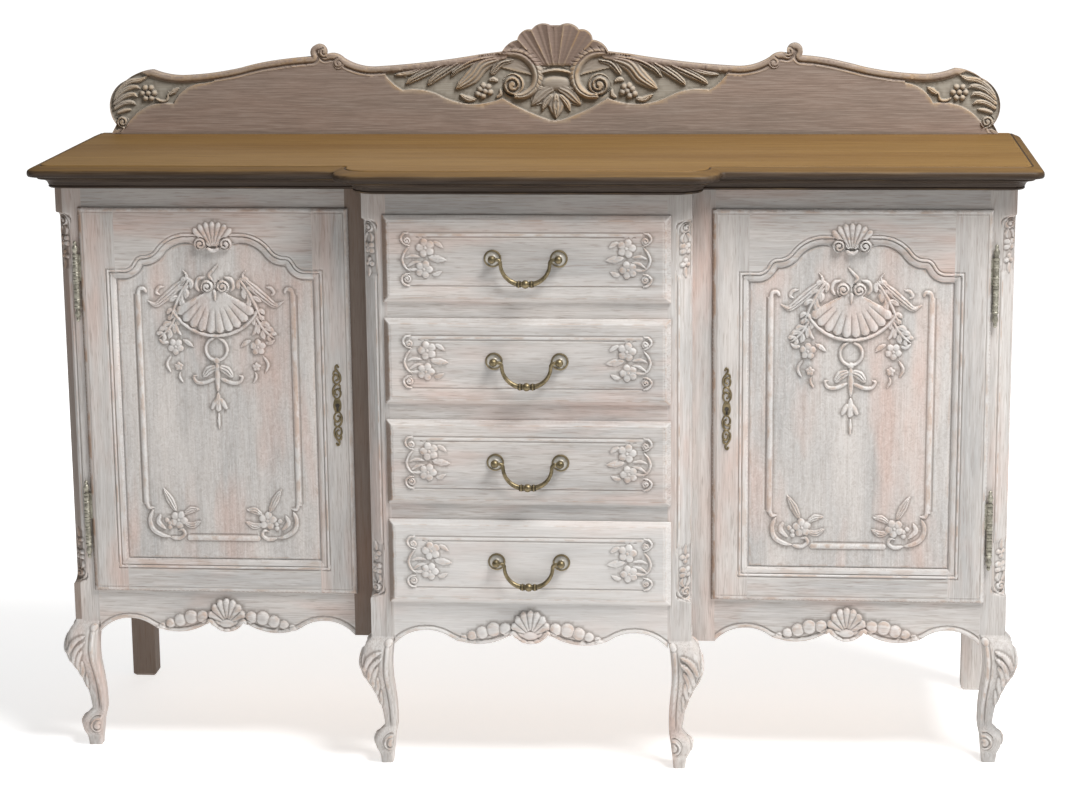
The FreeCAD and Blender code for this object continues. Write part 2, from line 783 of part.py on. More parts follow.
for k, foot in enumerate(drawer_feet, 1):
    floor_z = foot + s.lip + s.slide_gap
    block_top = foot + drawer_height - s.lip - s.fit_gap
    side_top = block_top - 10
    handle_z = foot + drawer_height / 2 + s.handle_rise
    lip_half = pilaster_inner + s.lip
    lip_plate = prism(f"drawer_lip_{k}", "XZ",
                      [(-lip_half, foot), (lip_half, foot), (lip_half, foot + drawer_height),
                       (-lip_half, foot + drawer_height)], drawer_face, s.drawer_proud - s.slide_gap)
    bevel(lip_plate, lambda b: b.YMax < 0.01, s.drawer_bevel_drop, s.drawer_bevel)
    block = box(f"drawer_block_{k}", (-drawer_half, drawer_half),
                (center_y - s.slide_gap, box_front), (floor_z, block_top))
    holes = [rod(f"drawer_hole_{hand}_{k}", s.shank_radius + s.running_fit, shank_length + 1,
                 (s.handle_half * side, drawer_face, handle_z), (0, 1, 0)) for side, hand in sides]
    node(cut(f"drawer_front_{k}", fuse(f"drawer_blank_{k}", [lip_plate, block]), holes),
         f"drawer_front_{k}")

    inside = drawer_half - s.drawer_side
    boards = [box(f"drawer_side_{hand}_{k}", sided(side, inside, drawer_half), (box_front, box_back),
                  (floor_z, side_top)) for side, hand in sides]
    boards.append(box(f"drawer_back_{k}", (-inside, inside), (box_back - s.drawer_side, box_back),
                      (floor_z + s.drawer_bottom, side_top)))
    boards.append(box(f"drawer_bottom_{k}", (-inside, inside), (box_front, box_back - s.drawer_side),
                      (floor_z + s.drawer_bottom, floor_z + s.drawer_bottom * 2)))
    node(group(f"drawer_box_{k}", boards), f"drawer_box_{k}")
    node(group(f"handle_posts_{k}", [handle_post(f"handle_{hand}_{k}", side, handle_z)
                                     for side, hand in sides]), f"handle_posts_{k}")
    node(bail(f"bail_{k}", handle_z), f"bail_{k}")

# Doors
door_front = wing_y - s.door_proud
door_rear = wing_y + s.door_back
door_seat = wing_y - s.slide_gap
door_in = joint_x - s.lip
door_out = post_inner + s.lip
half_open = wing_half + s.lip - s.door_stile
rail_top = s.door_foot + s.door_rail
inset = s.lip + s.fit_gap
groove_y = wing_y + s.groove_front - s.panel_play
groove_end = groove_y + s.panel_plate + s.panel_play * 2
plate_y = wing_y + s.groove_front
leaf_y = hinge_y + s.knuckle_radius / 2
ledge_z = door_head - s.ledge_drop
step_z = door_head - s.step_drop
arch_z = door_head - s.arch_drop
shell_z = door_head - s.shell_drop
rise = arch_z - step_z
arch = [
    (half_open, ledge_z),
    (half_open * 0.9, ledge_z),
    (half_open * 0.805, ledge_z + (step_z - ledge_z) * 0.27,
     half_open * 0.735, step_z - 2),
    (half_open * 0.72, step_z + 2),
    (half_open * 0.595, step_z + rise * 0.17, half_open * 0.51, step_z + rise * 0.476),
    (half_open * 0.425, step_z + rise * 0.81, half_open * 0.263, arch_z),
]


def arched(half, foot, lift):
    # The shape of the door opening, narrower or wider, raised or lowered.
    head = moved(arch, 0, lift)
    return mirrored([(half, foot), (half, ledge_z + lift)] + head[1:])


def finial(length, sign):
    radius, start, drop = s.knuckle_radius, length * sign, s.finial_length * sign
    shares = ((1, 0), (0.62, 0.1), (0.72, 0.2), (1, 0.36),
              (0.92, 0.5), (0.45, 0.68), (0.6, 0.82), (0.5, 0.92))
    steps = [(radius * wide, start + drop * along) for wide, along in shares]
    return steps + [(0, start + drop)]


def keyhole(name, x, start, length):
    slot_half = s.keyhole_radius / 2
    return [rod(f"{name}_eye", s.keyhole_radius, length, (x, start, s.lock_height), (0, 1, 0)),
            box(f"{name}_slot", (x - slot_half, x + slot_half), (start, start + length),
                (s.lock_height - s.keyhole_radius * 3, s.lock_height))]


pins = []
for side, hand in sides:
    mid = wing_mid * side

    def stile(name, flip_side, outer):
        # Plan of a stile: bevelled lip outside, rebate, groove for the panel inside.
        edge = half_open + s.door_stile
        plan_steps = [
            (half_open, door_front), (edge - s.door_bevel, door_front),
            (edge, door_front + s.door_bevel * 0.6), (edge, door_seat), (edge - inset, door_seat),
            (edge - inset, door_rear), (half_open, door_rear), (half_open, groove_end),
            (half_open + s.groove_depth, groove_end), (half_open + s.groove_depth, groove_y),
            (half_open, groove_y),
        ]
        outline = [(mid + x * flip_side, y) for x, y in plan_steps]
        blank = prism(f"{name}_blank", "XY", outline, s.door_foot, door_head - s.door_foot)
        x_span = (mid - edge - 1, mid + edge + 1)
        y_span = (door_seat, door_rear)
        tools = [box(f"{name}_rebate_{k}", x_span, y_span, z) for k, z in enumerate((
            (s.door_foot, s.door_foot + inset), (door_head - inset, door_head)))]
        return cut(name, blank, tools + outer)

    leaf_x = sided(side, door_out - s.leaf_depth - s.running_fit, door_out + 1)
    leaf_slots = [box(f"leaf_slot_{hand}_{k}", leaf_x,
                      (leaf_y - s.running_fit, leaf_y + s.leaf_thickness + s.running_fit),
                      (level, level + s.knuckle_length + s.running_fit))
                  for k, level in enumerate(hinge_levels)]
    key_x = (door_in + s.keyhole_inset) * side
    key_hole = keyhole(f"key_door_{hand}", key_x, door_front, s.door_proud + s.door_back)
    node(group(f"door_stiles_{hand}", [stile(f"hinge_stile_{hand}", side, leaf_slots),
                                       stile(f"lock_stile_{hand}", -side, key_hole)]),
         f"door_stiles_{hand}")

    def tongues(name, low, high):
        # Stub tenons at both ends of a rail, in the grooves of the stiles.
        reach = half_open + s.groove_depth - s.panel_play
        ends = ((mid - reach, mid - half_open + 1), (mid + half_open - 1, mid + reach))
        return [box(f"{name}_{k}", x, (plate_y, plate_y + s.panel_plate), (low, high))
                for k, x in enumerate(ends)]

    foot_rail = prism(f"foot_rail_{hand}", "YZ", [
        (door_front, s.door_foot + s.door_bevel), (door_front + s.door_bevel * 0.6, s.door_foot),
        (door_seat, s.door_foot), (door_seat, s.door_foot + inset), (door_rear, s.door_foot + inset),
        (door_rear, rail_top), (groove_end, rail_top), (groove_end, rail_top - s.groove_depth),
        (groove_y, rail_top - s.groove_depth), (groove_y, rail_top), (door_front, rail_top),
    ], mid - half_open, half_open * 2)
    foot_tongues = tongues(f"foot_tongue_{hand}", s.door_foot + inset, rail_top - s.groove_depth)
    foot_whole = fuse(f"foot_rail_whole_{hand}", [foot_rail] + foot_tongues)

    head_rail_plate = prism(f"head_rail_{hand}", "XZ",
                            moved([(half_open, door_head)] + mirrored(arch) + [(-half_open, door_head)],
                                  mid, 0), door_front, s.door_proud + s.door_back)
    bevel(head_rail_plate, lambda b: b.ZMin > door_head.value - 0.01 and b.YMax < 0.01,
          s.door_bevel * 0.6, s.door_bevel)
    head_tools = [
        box(f"head_rebate_{hand}", (mid - half_open, mid + half_open), (door_seat, door_rear),
            (door_head - inset, door_head)),
        prism(f"head_groove_{hand}", "XZ",
              moved(arched(half_open + 1, ledge_z - 1, s.groove_depth), mid, 0),
              groove_y, groove_end - groove_y),
    ]
    head_cut = cut(f"head_rail_cut_{hand}", head_rail_plate, head_tools)
    fan = mirrored([(26, arch_z + 1), (33, arch_z + 12),
                    (24, shell_z - 6, 3, shell_z)])
    door_shell = prism(f"door_shell_{hand}", "XZ", moved(fan, mid, 0),
                       door_front - s.shell_relief, s.shell_relief)
    head_tongues = tongues(f"head_tongue_{hand}", ledge_z + s.groove_depth, door_head - inset)
    head_whole = fuse(f"head_rail_whole_{hand}", [head_cut, door_shell] + head_tongues)
    node(group(f"door_rails_{hand}", [foot_whole, head_whole]), f"door_rails_{hand}")

    tuck = s.groove_depth - 0.3
    plate = prism(f"panel_plate_{hand}", "XZ",
                  moved(arched(half_open + tuck, rail_top - tuck, tuck), mid, 0), plate_y, s.panel_plate)
    field = prism(f"panel_field_{hand}", "XZ",
                  moved(arched(half_open - s.panel_field, rail_top + s.panel_field, -s.panel_field), mid, 0),
                  plate_y - s.panel_raise, s.panel_raise)
    node(fuse(f"door_panel_{hand}", [plate, field]), f"door_panel_{hand}")

    barrels = []
    for k, level in enumerate(hinge_levels):
        eye = s.pin_radius + s.running_fit
        upper = [(eye, 0), (s.knuckle_radius, 0)] + finial(s.knuckle_length, 1)
        upper += [(0, s.pin_length + 1), (eye, s.pin_length + 1)]
        place = (hinge_x * side, hinge_y, level + s.thrust_gap)
        knuckle = turned(f"door_knuckle_{hand}_{k}", "XZ", upper, place)
        leaf = box(f"door_leaf_{hand}_{k}",
                   sided(side, door_out - s.leaf_depth, hinge_x),
                   (leaf_y, leaf_y + s.leaf_thickness),
                   (level + s.thrust_gap, level + s.knuckle_length))
        barrels.append(fuse(f"door_hinge_{hand}_{k}", [knuckle, leaf]))
        lower = [(0, s.pin_length), (s.pin_radius, s.pin_length), (s.pin_radius, 0), (s.knuckle_radius, 0)]
        lower += finial(s.knuckle_length, -1)
        pin = turned(f"post_knuckle_{hand}_{k}", "XZ", lower, (hinge_x * side, hinge_y, level))
        pins.append(fuse(f"post_hinge_{hand}_{k}", [pin, post_leaf(f"post_leaf_{hand}_{k}", side, level, 0)]))
    node(group(f"hinge_barrels_{hand}", barrels), f"hinge_barrels_{hand}")

    # Pierced escutcheon: a chain of scroll eyes above and below the keyhole
    chain = ((17, 8.5), (30.5, 7.5), (42.5, 6.5), (53, 5.5), (62, 4.8), (69.5, 4.2))
    scale = s.escutcheon_length / 148
    plate_front = door_front - s.escutcheon_thickness
    discs = [rod(f"scroll_{hand}_mid", scale * 11, s.escutcheon_thickness,
                 (key_x, plate_front, s.lock_height), (0, 1, 0))]
    eyes = keyhole(f"key_plate_{hand}", key_x, plate_front, s.escutcheon_thickness)
    for k, (along, radius) in enumerate(chain):
        for way in (-1, 1):
            tag = f"{hand}_{k}_{'low' if way < 0 else 'high'}"
            centre = (key_x + (2 if k % 2 else -2) * way, plate_front, s.lock_height + scale * along * way)
            thick = s.escutcheon_thickness
            discs.append(rod(f"scroll_{tag}", scale * radius, thick, centre, (0, 1, 0)))
            eyes.append(rod(f"scroll_eye_{tag}", scale * radius * 0.45, thick, centre, (0, 1, 0)))
    node(cut(f"escutcheon_{hand}", fuse(f"escutcheon_blank_{hand}", discs), eyes), f"escutcheon_{hand}")

    # Lock: a case on the back of the lock stile, with a bolt that slides behind the wing stile
    case_x = door_in + inset + s.lock_setback
    bolt_y = door_rear + s.lock_depth * 0.6
    case = box(f"case_{hand}", sided(side, case_x, case_x + s.lock_width),
               (door_rear, door_rear + s.lock_depth),
               (s.lock_height - s.lock_length / 2, s.lock_height + s.lock_length / 2))

    def bolt_box(name, growth, length):
        thick, wide = s.bolt_thickness / 2 + growth, s.bolt_width / 2 + growth
        return box(name, sided(side, case_x, case_x + length), (bolt_y - thick, bolt_y + thick),
                   (s.lock_height - wide, s.lock_height + wide))

    channel = bolt_box(f"channel_{hand}", s.bolt_gap, s.bolt_length + s.bolt_gap)
    case_tools = [channel] + keyhole(f"key_case_{hand}", key_x, door_rear, s.lock_depth * 0.5)
    node(cut(f"lock_case_{hand}", case, case_tools), f"lock_case_{hand}")
    node(bolt_box(f"lock_bolt_{hand}", 0, s.bolt_length), f"lock_bolt_{hand}")

node(group("hinge_pins", pins), "hinge_pins")

doc.recompute()
faults = [item.Name for item in doc.Objects if "Invalid" in item.State or "Error" in item.State]
faults += [item.Label for item in parts if item.Shape.isNull() or not item.Shape.isValid()]
if faults:
    raise RuntimeError("faults: " + ", ".join(faults))
os.makedirs("parts", exist_ok=True)
for item in parts:
    item.Shape.exportStep(f"parts/{item.Label}.step")
print(len(parts), "parts written")
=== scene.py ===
import math
import bpy
import numpy as np
from mathutils import Matrix, Vector
from mathutils.geometry import delaunay_2d_cdt


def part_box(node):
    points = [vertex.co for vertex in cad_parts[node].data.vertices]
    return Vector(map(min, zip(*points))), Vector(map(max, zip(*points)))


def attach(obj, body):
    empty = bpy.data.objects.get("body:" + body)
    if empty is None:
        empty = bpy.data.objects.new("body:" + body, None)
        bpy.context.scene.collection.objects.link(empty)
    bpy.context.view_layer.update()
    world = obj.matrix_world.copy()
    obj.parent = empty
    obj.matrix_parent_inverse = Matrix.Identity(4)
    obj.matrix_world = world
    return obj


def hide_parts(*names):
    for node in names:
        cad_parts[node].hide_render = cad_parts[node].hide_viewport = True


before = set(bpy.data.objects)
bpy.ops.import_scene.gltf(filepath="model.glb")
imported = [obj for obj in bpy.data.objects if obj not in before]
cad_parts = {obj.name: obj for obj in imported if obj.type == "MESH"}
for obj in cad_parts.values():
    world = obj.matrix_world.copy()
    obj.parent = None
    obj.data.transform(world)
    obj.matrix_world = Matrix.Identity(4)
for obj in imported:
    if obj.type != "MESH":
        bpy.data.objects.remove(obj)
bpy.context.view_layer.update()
mm = 0.001  # the carving is laid out in millimetres
sides = (("left", -1), ("right", 1))


def span(node):  # low and high corner of a CAD node, in millimetres
    low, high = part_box(node)
    return np.array(low) / mm, np.array(high) / mm


# camera and studio
view = {"place": (0.420, -4.7413, 1.677), "yaw": -5.056, "pitch": 12.498, "roll": 0.596, "lens": 90.017}
studio = {
    "backdrop": 1.0,
    "ambient": 0.16,
    "floorTone": 0.84,
    "floorGlow": (0.56, 0.96),  # before the piece, and behind it
    "glowRun": (-0.6, 2.0),  # depth at which the glow starts to change, and where it ends
    "floorSize": 60.0,
    "keyPlace": (1.65, -1.4, 3.9),
    "keyAim": (0.1, 0.0, 0.6),
    "keySize": 1.8,
    "keyPower": 215.0,
    "rimPlace": (-0.6, 2.8, 3.4),
    "rimAim": (0, 0, 1.1),
    "rimSize": 2.4,
    "rimPower": 12.0,
}


def placeCamera():
    yaw, pitch, roll = (math.radians(view[key]) for key in ("yaw", "pitch", "roll"))
    ahead = Vector((math.sin(yaw) * math.cos(pitch), math.cos(yaw) * math.cos(pitch), -math.sin(pitch)))
    level = Vector((math.cos(yaw), -math.sin(yaw), 0))
    below = ahead.cross(level)
    across = level * math.cos(roll) + below * math.sin(roll)
    down = below * math.cos(roll) - level * math.sin(roll)
    lens = bpy.data.cameras.new("photoView")
    lens.sensor_fit = "HORIZONTAL"
    lens.sensor_width = 36
    lens.lens = view["lens"]
    camera = bpy.data.objects.new("photoView", lens)
    turn = Matrix((across, -down, -ahead)).transposed().to_4x4()
    camera.matrix_world = Matrix.Translation(view["place"]) @ turn
    bpy.context.collection.objects.link(camera)
    bpy.context.scene.camera = camera


def placeLamp(name):
    place, aim, size, power = (studio[name + part] for part in ("Place", "Aim", "Size", "Power"))
    lamp = bpy.data.lights.new(name + "Light", "AREA")
    lamp.shape = "DISK"
    lamp.size = size
    lamp.energy = power
    holder = bpy.data.objects.new(name + "Light", lamp)
    toward = Vector(aim) - Vector(place)
    holder.matrix_world = Matrix.Translation(place) @ toward.to_track_quat("-Z", "Y").to_matrix().to_4x4()
    bpy.context.collection.objects.link(holder)


def paint(red, green, blue):  # screen colour to linear
    shares = [value / 255 for value in (red, green, blue)]
    return tuple(c / 12.92 if c <= 0.04045 else ((c + 0.055) / 1.055) ** 2.4 for c in shares) + (1.0,)


# shader sockets with operators
class Wire:
    def __init__(self, graph, socket):
        self.graph, self.socket = graph, socket

    def __add__(self, other):
        return self.graph.math("ADD", self, other)

    def __radd__(self, other):
        return self.graph.math("ADD", other, self)

    def __sub__(self, other):
        return self.graph.math("SUBTRACT", self, other)

    def __rsub__(self, other):
        return self.graph.math("SUBTRACT", other, self)

    def __mul__(self, other):
        return self.graph.math("MULTIPLY", self, other)

    def __rmul__(self, other):
        return self.graph.math("MULTIPLY", other, self)

    def __pow__(self, other):
        return self.graph.math("POWER", self, other)

    def between(self, low, high):  # 0 at low, 1 at high, held beyond
        return self.graph.node("ShaderNodeMapRange", {"clamp": True},
                               {"Value": self, "From Min": low, "From Max": high})


class Graph:
    def __init__(self, name):
        self.material = bpy.data.materials.new(name)
        self.material.use_nodes = True
        self.tree = self.material.node_tree
        self.tree.nodes.clear()

    def node(self, kind, settings=None, sockets=None, out=0):
        made = self.tree.nodes.new(kind)
        for key, value in (settings or {}).items():
            setattr(made, key, value)
        for key, value in (sockets or {}).items():
            if isinstance(value, Wire):
                self.tree.links.new(value.socket, made.inputs[key])
            else:
                made.inputs[key].default_value = value
        return Wire(self, made.outputs[out]) if made.outputs else made

    def math(self, operation, first, second=0.0):
        return self.node("ShaderNodeMath", {"operation": operation}, {0: first, 1: second})

    def mix(self, share, first, second):
        settings = {"data_type": "RGBA", "clamp_factor": True}
        return self.node("ShaderNodeMix", settings, {0: share, 6: first, 7: second}, out=2)

    def grain(self, along, seed):  # object coordinates turned so that x runs along the grain
        turns = {"x": (0, 0, 0), "y": (0, 0, -math.pi / 2), "z": (0, math.pi / 2, 0)}
        shift = (0.37 * seed, 0.71 * seed, 0.53 * seed)
        place = self.node("ShaderNodeTexCoord", out=3)
        return self.node("ShaderNodeMapping", None,
                         {"Vector": place, "Location": shift, "Rotation": turns[along]})

    def scaled(self, place, scale):
        return self.node("ShaderNodeVectorMath", {"operation": "MULTIPLY"}, {0: place, 1: scale})

    def noise(self, place, scale, detail=3.0, rough=0.55, distortion=0.0):
        return self.node("ShaderNodeTexNoise", None,
                         {"Vector": self.scaled(place, scale), "Scale": 1.0, "Detail": detail,
                          "Roughness": rough, "Distortion": distortion})

    def parts(self, place):
        return [self.node("ShaderNodeSeparateXYZ", None, {0: place}, out=k) for k in range(3)]

    def attribute(self, name):
        return self.node("ShaderNodeAttribute", {"attribute_name": name}, out=2)

    def bump(self, height, strength, distance):
        return self.node("ShaderNodeBump", None,
                         {"Height": height, "Strength": strength, "Distance": distance})

    def finish(self, color, roughness, normal=None, metallic=0.0, specular=0.5, glow=None):
        sockets = {"Base Color": color, "Roughness": roughness, "Metallic": metallic, "Specular IOR Level": specular}
        if normal:
            sockets["Normal"] = normal
        if glow:
            sockets.update({"Emission Color": glow, "Emission Strength": 1.0})
        shader = self.node("ShaderNodeBsdfPrincipled", None, sockets)
        self.node("ShaderNodeOutputMaterial", None, {"Surface": shader})
        return self.material


def setStudio():
    world = bpy.data.worlds.new("studio")
    bpy.context.scene.world = world
    world.use_nodes = True
    tree = world.node_tree
    tree.nodes.clear()
    glow = tree.nodes.new("ShaderNodeBackground")
    seen = tree.nodes.new("ShaderNodeLightPath")
    level = tree.nodes.new("ShaderNodeMapRange")
    level.inputs["To Min"].default_value = studio["ambient"]
    level.inputs["To Max"].default_value = studio["backdrop"]
    tree.links.new(seen.outputs["Is Camera Ray"], level.inputs["Value"])
    tree.links.new(level.outputs[0], glow.inputs["Strength"])
    glow.inputs["Color"].default_value = (1, 1, 1, 1)
    end = tree.nodes.new("ShaderNodeOutputWorld")
    tree.links.new(glow.outputs[0], end.inputs["Surface"])
    bpy.context.scene.view_settings.view_transform = "Standard"
    placeLamp("key")
    placeLamp("rim")
    half = studio["floorSize"] / 2
    mesh = bpy.data.meshes.new("studioFloor")
    mesh.from_pydata([(-half, -half, 0), (half, -half, 0), (half, half, 0), (-half, half, 0)], [],
                     [(0, 1, 2, 3)])
    floor = bpy.data.objects.new("studioFloor", mesh)
    bpy.context.collection.objects.link(floor)
    graph = Graph("paleFloor")
    tone = studio["floorTone"]
    place = graph.grain("x", 0)
    cloud = graph.noise(place, (0.8, 0.8, 0.8))
    pale = graph.mix(cloud * 0.3, (tone, tone, tone, 1), (tone * 0.97, tone * 0.97, tone * 0.96, 1))
    near, far = ((value, value, value, 1) for value in studio["floorGlow"])
    glow = graph.mix(graph.parts(place)[1].between(*studio["glowRun"]), near, far)
    mesh.materials.append(graph.finish(pale, 0.9, specular=0.1, glow=glow))


placeCamera()
setStudio()
print("stage: camera and studio")


# finishes
limed = {
    "pale": paint(202, 196, 191),
    "cool": paint(176, 174, 172),
    "pink": paint(200, 174, 163),
    "wood": paint(134, 118, 106),
    "paste": paint(222, 219, 216),
    "worn": paint(184, 152, 128),
    "dustAndShade": paint(112, 102, 93),
    "brown": paint(96, 72, 52),
    "roughness": 0.57,
    "overhang": (0.86, 1.04),  # heights between which painted shade darkens the front under the top's overhang
    # noise scales, along the grain and across it
    "broad": (2.6, 15, 15),
    "patch": (3.4, 13, 13),
    "sway": (1.6, 8, 8),
    "fibre": (20, 560, 560),
    "pores": (30, 460, 460),
    "streak": (7, 150, 150),
    "ripple": (75, 95, 95),
    "scuff": (30, 60, 60),
}


def limedOak(name, along, seed, figure=0.0, brown=0.0, pale=0.0):
    graph = Graph(name)
    place = graph.grain(along, seed)
    _, across, depth = graph.parts(place)
    calm = 1 - figure * 1.6  # a figured panel has less of the plain grain
    broad = graph.noise(place, limed["broad"], 3).between(0.34, 0.66)
    patch = graph.noise(place, limed["patch"], 3).between(0.50, 0.70)
    sway = graph.noise(place, limed["sway"], 2)
    ring = graph.math("SINE", (across + depth * 0.6) * 760.0 + sway * 34.0) * 0.5 + 0.5
    fibre = graph.noise(place, limed["fibre"], 4, 0.6)
    pores = graph.noise(place, limed["pores"], 2, 0.5)
    streak = graph.noise(place, limed["streak"], 3)
    color = graph.mix(broad, limed["pale"], limed["cool"])
    color = graph.mix(patch * 0.72, color, limed["pink"])
    color = graph.mix((ring ** 3.0) * broad * 0.16, color, limed["wood"])
    color = graph.mix(streak.between(0.54, 0.74) * (0.22 * calm), color, limed["wood"])
    color = graph.mix(streak.between(0.48, 0.30) * (0.24 * calm), color, limed["paste"])
    color = graph.mix(fibre.between(0.50, 0.74) * (0.38 * calm), color, limed["wood"])
    color = graph.mix(fibre.between(0.47, 0.28) * 0.30, color, limed["paste"])
    color = graph.mix(pores.between(0.58, 0.68) * (0.36 * calm), color, limed["wood"])
    if figure:  # silvery flecks that cross the grain of a quartered panel
        ripple = graph.noise(place, limed["ripple"], 3, 0.6, 3.0)
        color = graph.mix(ripple.between(0.52, 0.66) * (figure * 0.7), color, limed["wood"])
        color = graph.mix(ripple.between(0.46, 0.34) * (figure * 0.7), color, limed["paste"])
    color = graph.mix(pale, color, limed["paste"])
    height = graph.parts(graph.node("ShaderNodeTexCoord", out=3))[2]
    # painted shade: the front darkens towards the top, under the top's overhang
    color = graph.mix(height.between(*limed["overhang"]) * 0.45, color, limed["dustAndShade"])
    # painted shade, partly brown stain: the sunk marks darken the left bevels, the outward side of the left outer post
    # and the door feet; brown shades a whole piece
    color = graph.mix(graph.attribute("sunk") * 0.75 + brown, color, limed["brown"])
    wear = graph.attribute("wear")
    scuff = graph.noise(place, limed["scuff"], 3)
    rubbed = graph.mix(scuff.between(0.46, 0.60), limed["paste"], limed["worn"])
    color = graph.mix(wear.between(0.10, 0.75) * 0.40, color, rubbed)
    # dust and painted shade: carving hollows and the foot rims of the boards (wear below 0) are darkened
    color = graph.mix(wear.between(-0.10, -0.85) * 0.52, color, limed["dustAndShade"])
    normal = graph.bump(fibre * 0.6 + pores * 0.4, 0.25, 0.0009)
    return graph.finish(color, fibre * 0.18 + limed["roughness"], normal, specular=0.25)


brownTop = {
    "gold": paint(117, 87, 46),
    "honey": paint(132, 102, 57),
    "dark": paint(78, 56, 30),
    "edge": paint(46, 35, 26),
    "ash": paint(64, 53, 44),
    "rubbed": paint(148, 120, 78),
    "grimeAndShade": paint(52, 40, 32),
    # noise scales, along the grain and across it
    "broad": (0.7, 11, 11),
    "sway": (0.6, 5, 5),
    "fibre": (9, 300, 300),
    "pores": (36, 1100, 1100),
    "scuff": (7, 120, 120),
}


def brownOak(name, seed):
    graph = Graph(name)
    place = graph.grain("x", seed)
    _, across, depth = graph.parts(place)
    broad = graph.noise(place, brownTop["broad"], 3).between(0.35, 0.65)
    sway = graph.noise(place, brownTop["sway"], 2)
    ring = graph.math("SINE", across * 330.0 + depth * 260.0 + sway * 40.0) * 0.5 + 0.5
    fibre = graph.noise(place, brownTop["fibre"], 4, 0.6)
    pores = graph.noise(place, brownTop["pores"], 2)
    color = graph.mix(broad, brownTop["gold"], brownTop["honey"])
    color = graph.mix((ring ** 2.0) * 0.20, color, brownTop["dark"])
    color = graph.mix(fibre.between(0.46, 0.72) * 0.42, color, brownTop["dark"])
    color = graph.mix(pores.between(0.58, 0.70) * 0.35, color, brownTop["dark"])
    edge = graph.attribute("edge")
    stain = graph.mix(fibre.between(0.4, 0.62), brownTop["edge"], brownTop["ash"])
    color = graph.mix(edge.between(0.02, 1.0), color, stain)
    wear = graph.attribute("wear")
    scuff = graph.noise(place, brownTop["scuff"], 4, 0.65)
    rubbed = wear.between(0.1, 0.7) * scuff.between(0.48, 0.62)
    color = graph.mix(rubbed * 0.5, color, brownTop["rubbed"])
    # darkens the creases of the cornice and the groove of the top, where it is grime and painted shade (wear below 0)
    color = graph.mix(wear.between(-0.05, -0.6) * 0.6, color, brownTop["grimeAndShade"])
    normal = graph.bump(fibre * 0.6 + pores * 0.4, 0.18, 0.0008)
    return graph.finish(color, fibre * 0.2 + 0.44, normal, specular=0.22)


washed = {
    "rose": paint(152, 132, 120),
    "grey": paint(138, 124, 114),
    "dark": paint(102, 88, 78),
    "chalk": paint(180, 168, 159),
    "moss": paint(170, 168, 156),
    "shade": paint(122, 104, 94),
    "worn": paint(208, 191, 166),
    "amber": paint(176, 146, 108),
    "grimeAndShade": paint(100, 92, 81),
    # noise scales, along the grain and across it
    "broad": (2.0, 9, 9),
    "fibre": (18, 540, 540),
    "pores": (40, 1200, 1200),
    "scuff": (14, 26, 26),
}


def greyOak(name, seed):
    graph = Graph(name)
    place = graph.grain("x", seed)
    broad = graph.noise(place, washed["broad"], 3).between(0.35, 0.65)
    fibre = graph.noise(place, washed["fibre"], 4, 0.62)
    pores = graph.noise(place, washed["pores"], 2)
    color = graph.mix(broad, washed["rose"], washed["grey"])
    color = graph.mix(fibre.between(0.47, 0.7) * 0.45, color, washed["dark"])
    color = graph.mix(fibre.between(0.5, 0.3) * 0.40, color, washed["chalk"])
    color = graph.mix(pores.between(0.6, 0.72) * 0.35, color, washed["dark"])
    sunk = graph.attribute("sunk")
    ground = graph.mix(fibre.between(0.3, 0.7) * 0.5, washed["moss"], washed["grey"])
    color = graph.mix(sunk * 0.8, color, ground)
    color = graph.mix(sunk.between(-0.1, -0.6) * 0.65, color, washed["shade"])
    wear = graph.attribute("wear")
    scuff = graph.noise(place, washed["scuff"], 3)
    rubbed = graph.mix(scuff.between(0.4, 0.65), washed["worn"], washed["amber"])
    color = graph.mix(wear.between(0.14, 0.8) * scuff.between(0.30, 0.60) * 0.60, color, rubbed)
    # grime and painted shade in the hollows of the carving (wear below 0)
    color = graph.mix(wear.between(-0.08, -0.8) * 0.45, color, washed["grimeAndShade"])
    normal = graph.bump(fibre * 0.6 + pores * 0.4, 0.22, 0.0009)
    return graph.finish(color, fibre * 0.15 + 0.56, normal, specular=0.3)


plain = {
    "pale": paint(168, 138, 102),
    "tan": paint(148, 116, 82),
    "dark": paint(108, 80, 54),
    # noise scales, along the grain and across it
    "broad": (1.5, 8, 8),
    "fibre": (10, 280, 280),
}


def plainOak(name, along, seed):
    graph = Graph(name)
    place = graph.grain(along, seed)
    broad = graph.noise(place, plain["broad"], 3)
    fibre = graph.noise(place, plain["fibre"], 4, 0.6)
    color = graph.mix(broad.between(0.35, 0.65), plain["pale"], plain["tan"])
    color = graph.mix(fibre.between(0.45, 0.72) * 0.5, color, plain["dark"])
    normal = graph.bump(fibre, 0.2, 0.0008)
    return graph.finish(color, fibre * 0.15 + 0.6, normal, specular=0.3)


metal = {
    # bright, dull and dark tones
    "brass": (paint(142, 128, 99), paint(98, 89, 68), paint(48, 42, 33)),
    "hinge": (paint(176, 172, 158), paint(128, 124, 112), paint(84, 80, 72)),
    "iron": (paint(92, 86, 80), paint(58, 54, 50), paint(34, 30, 27)),
    "wax": paint(178, 174, 166),
    "cloud": (90, 90, 90),  # noise scales
    "speck": (420, 420, 420),
}


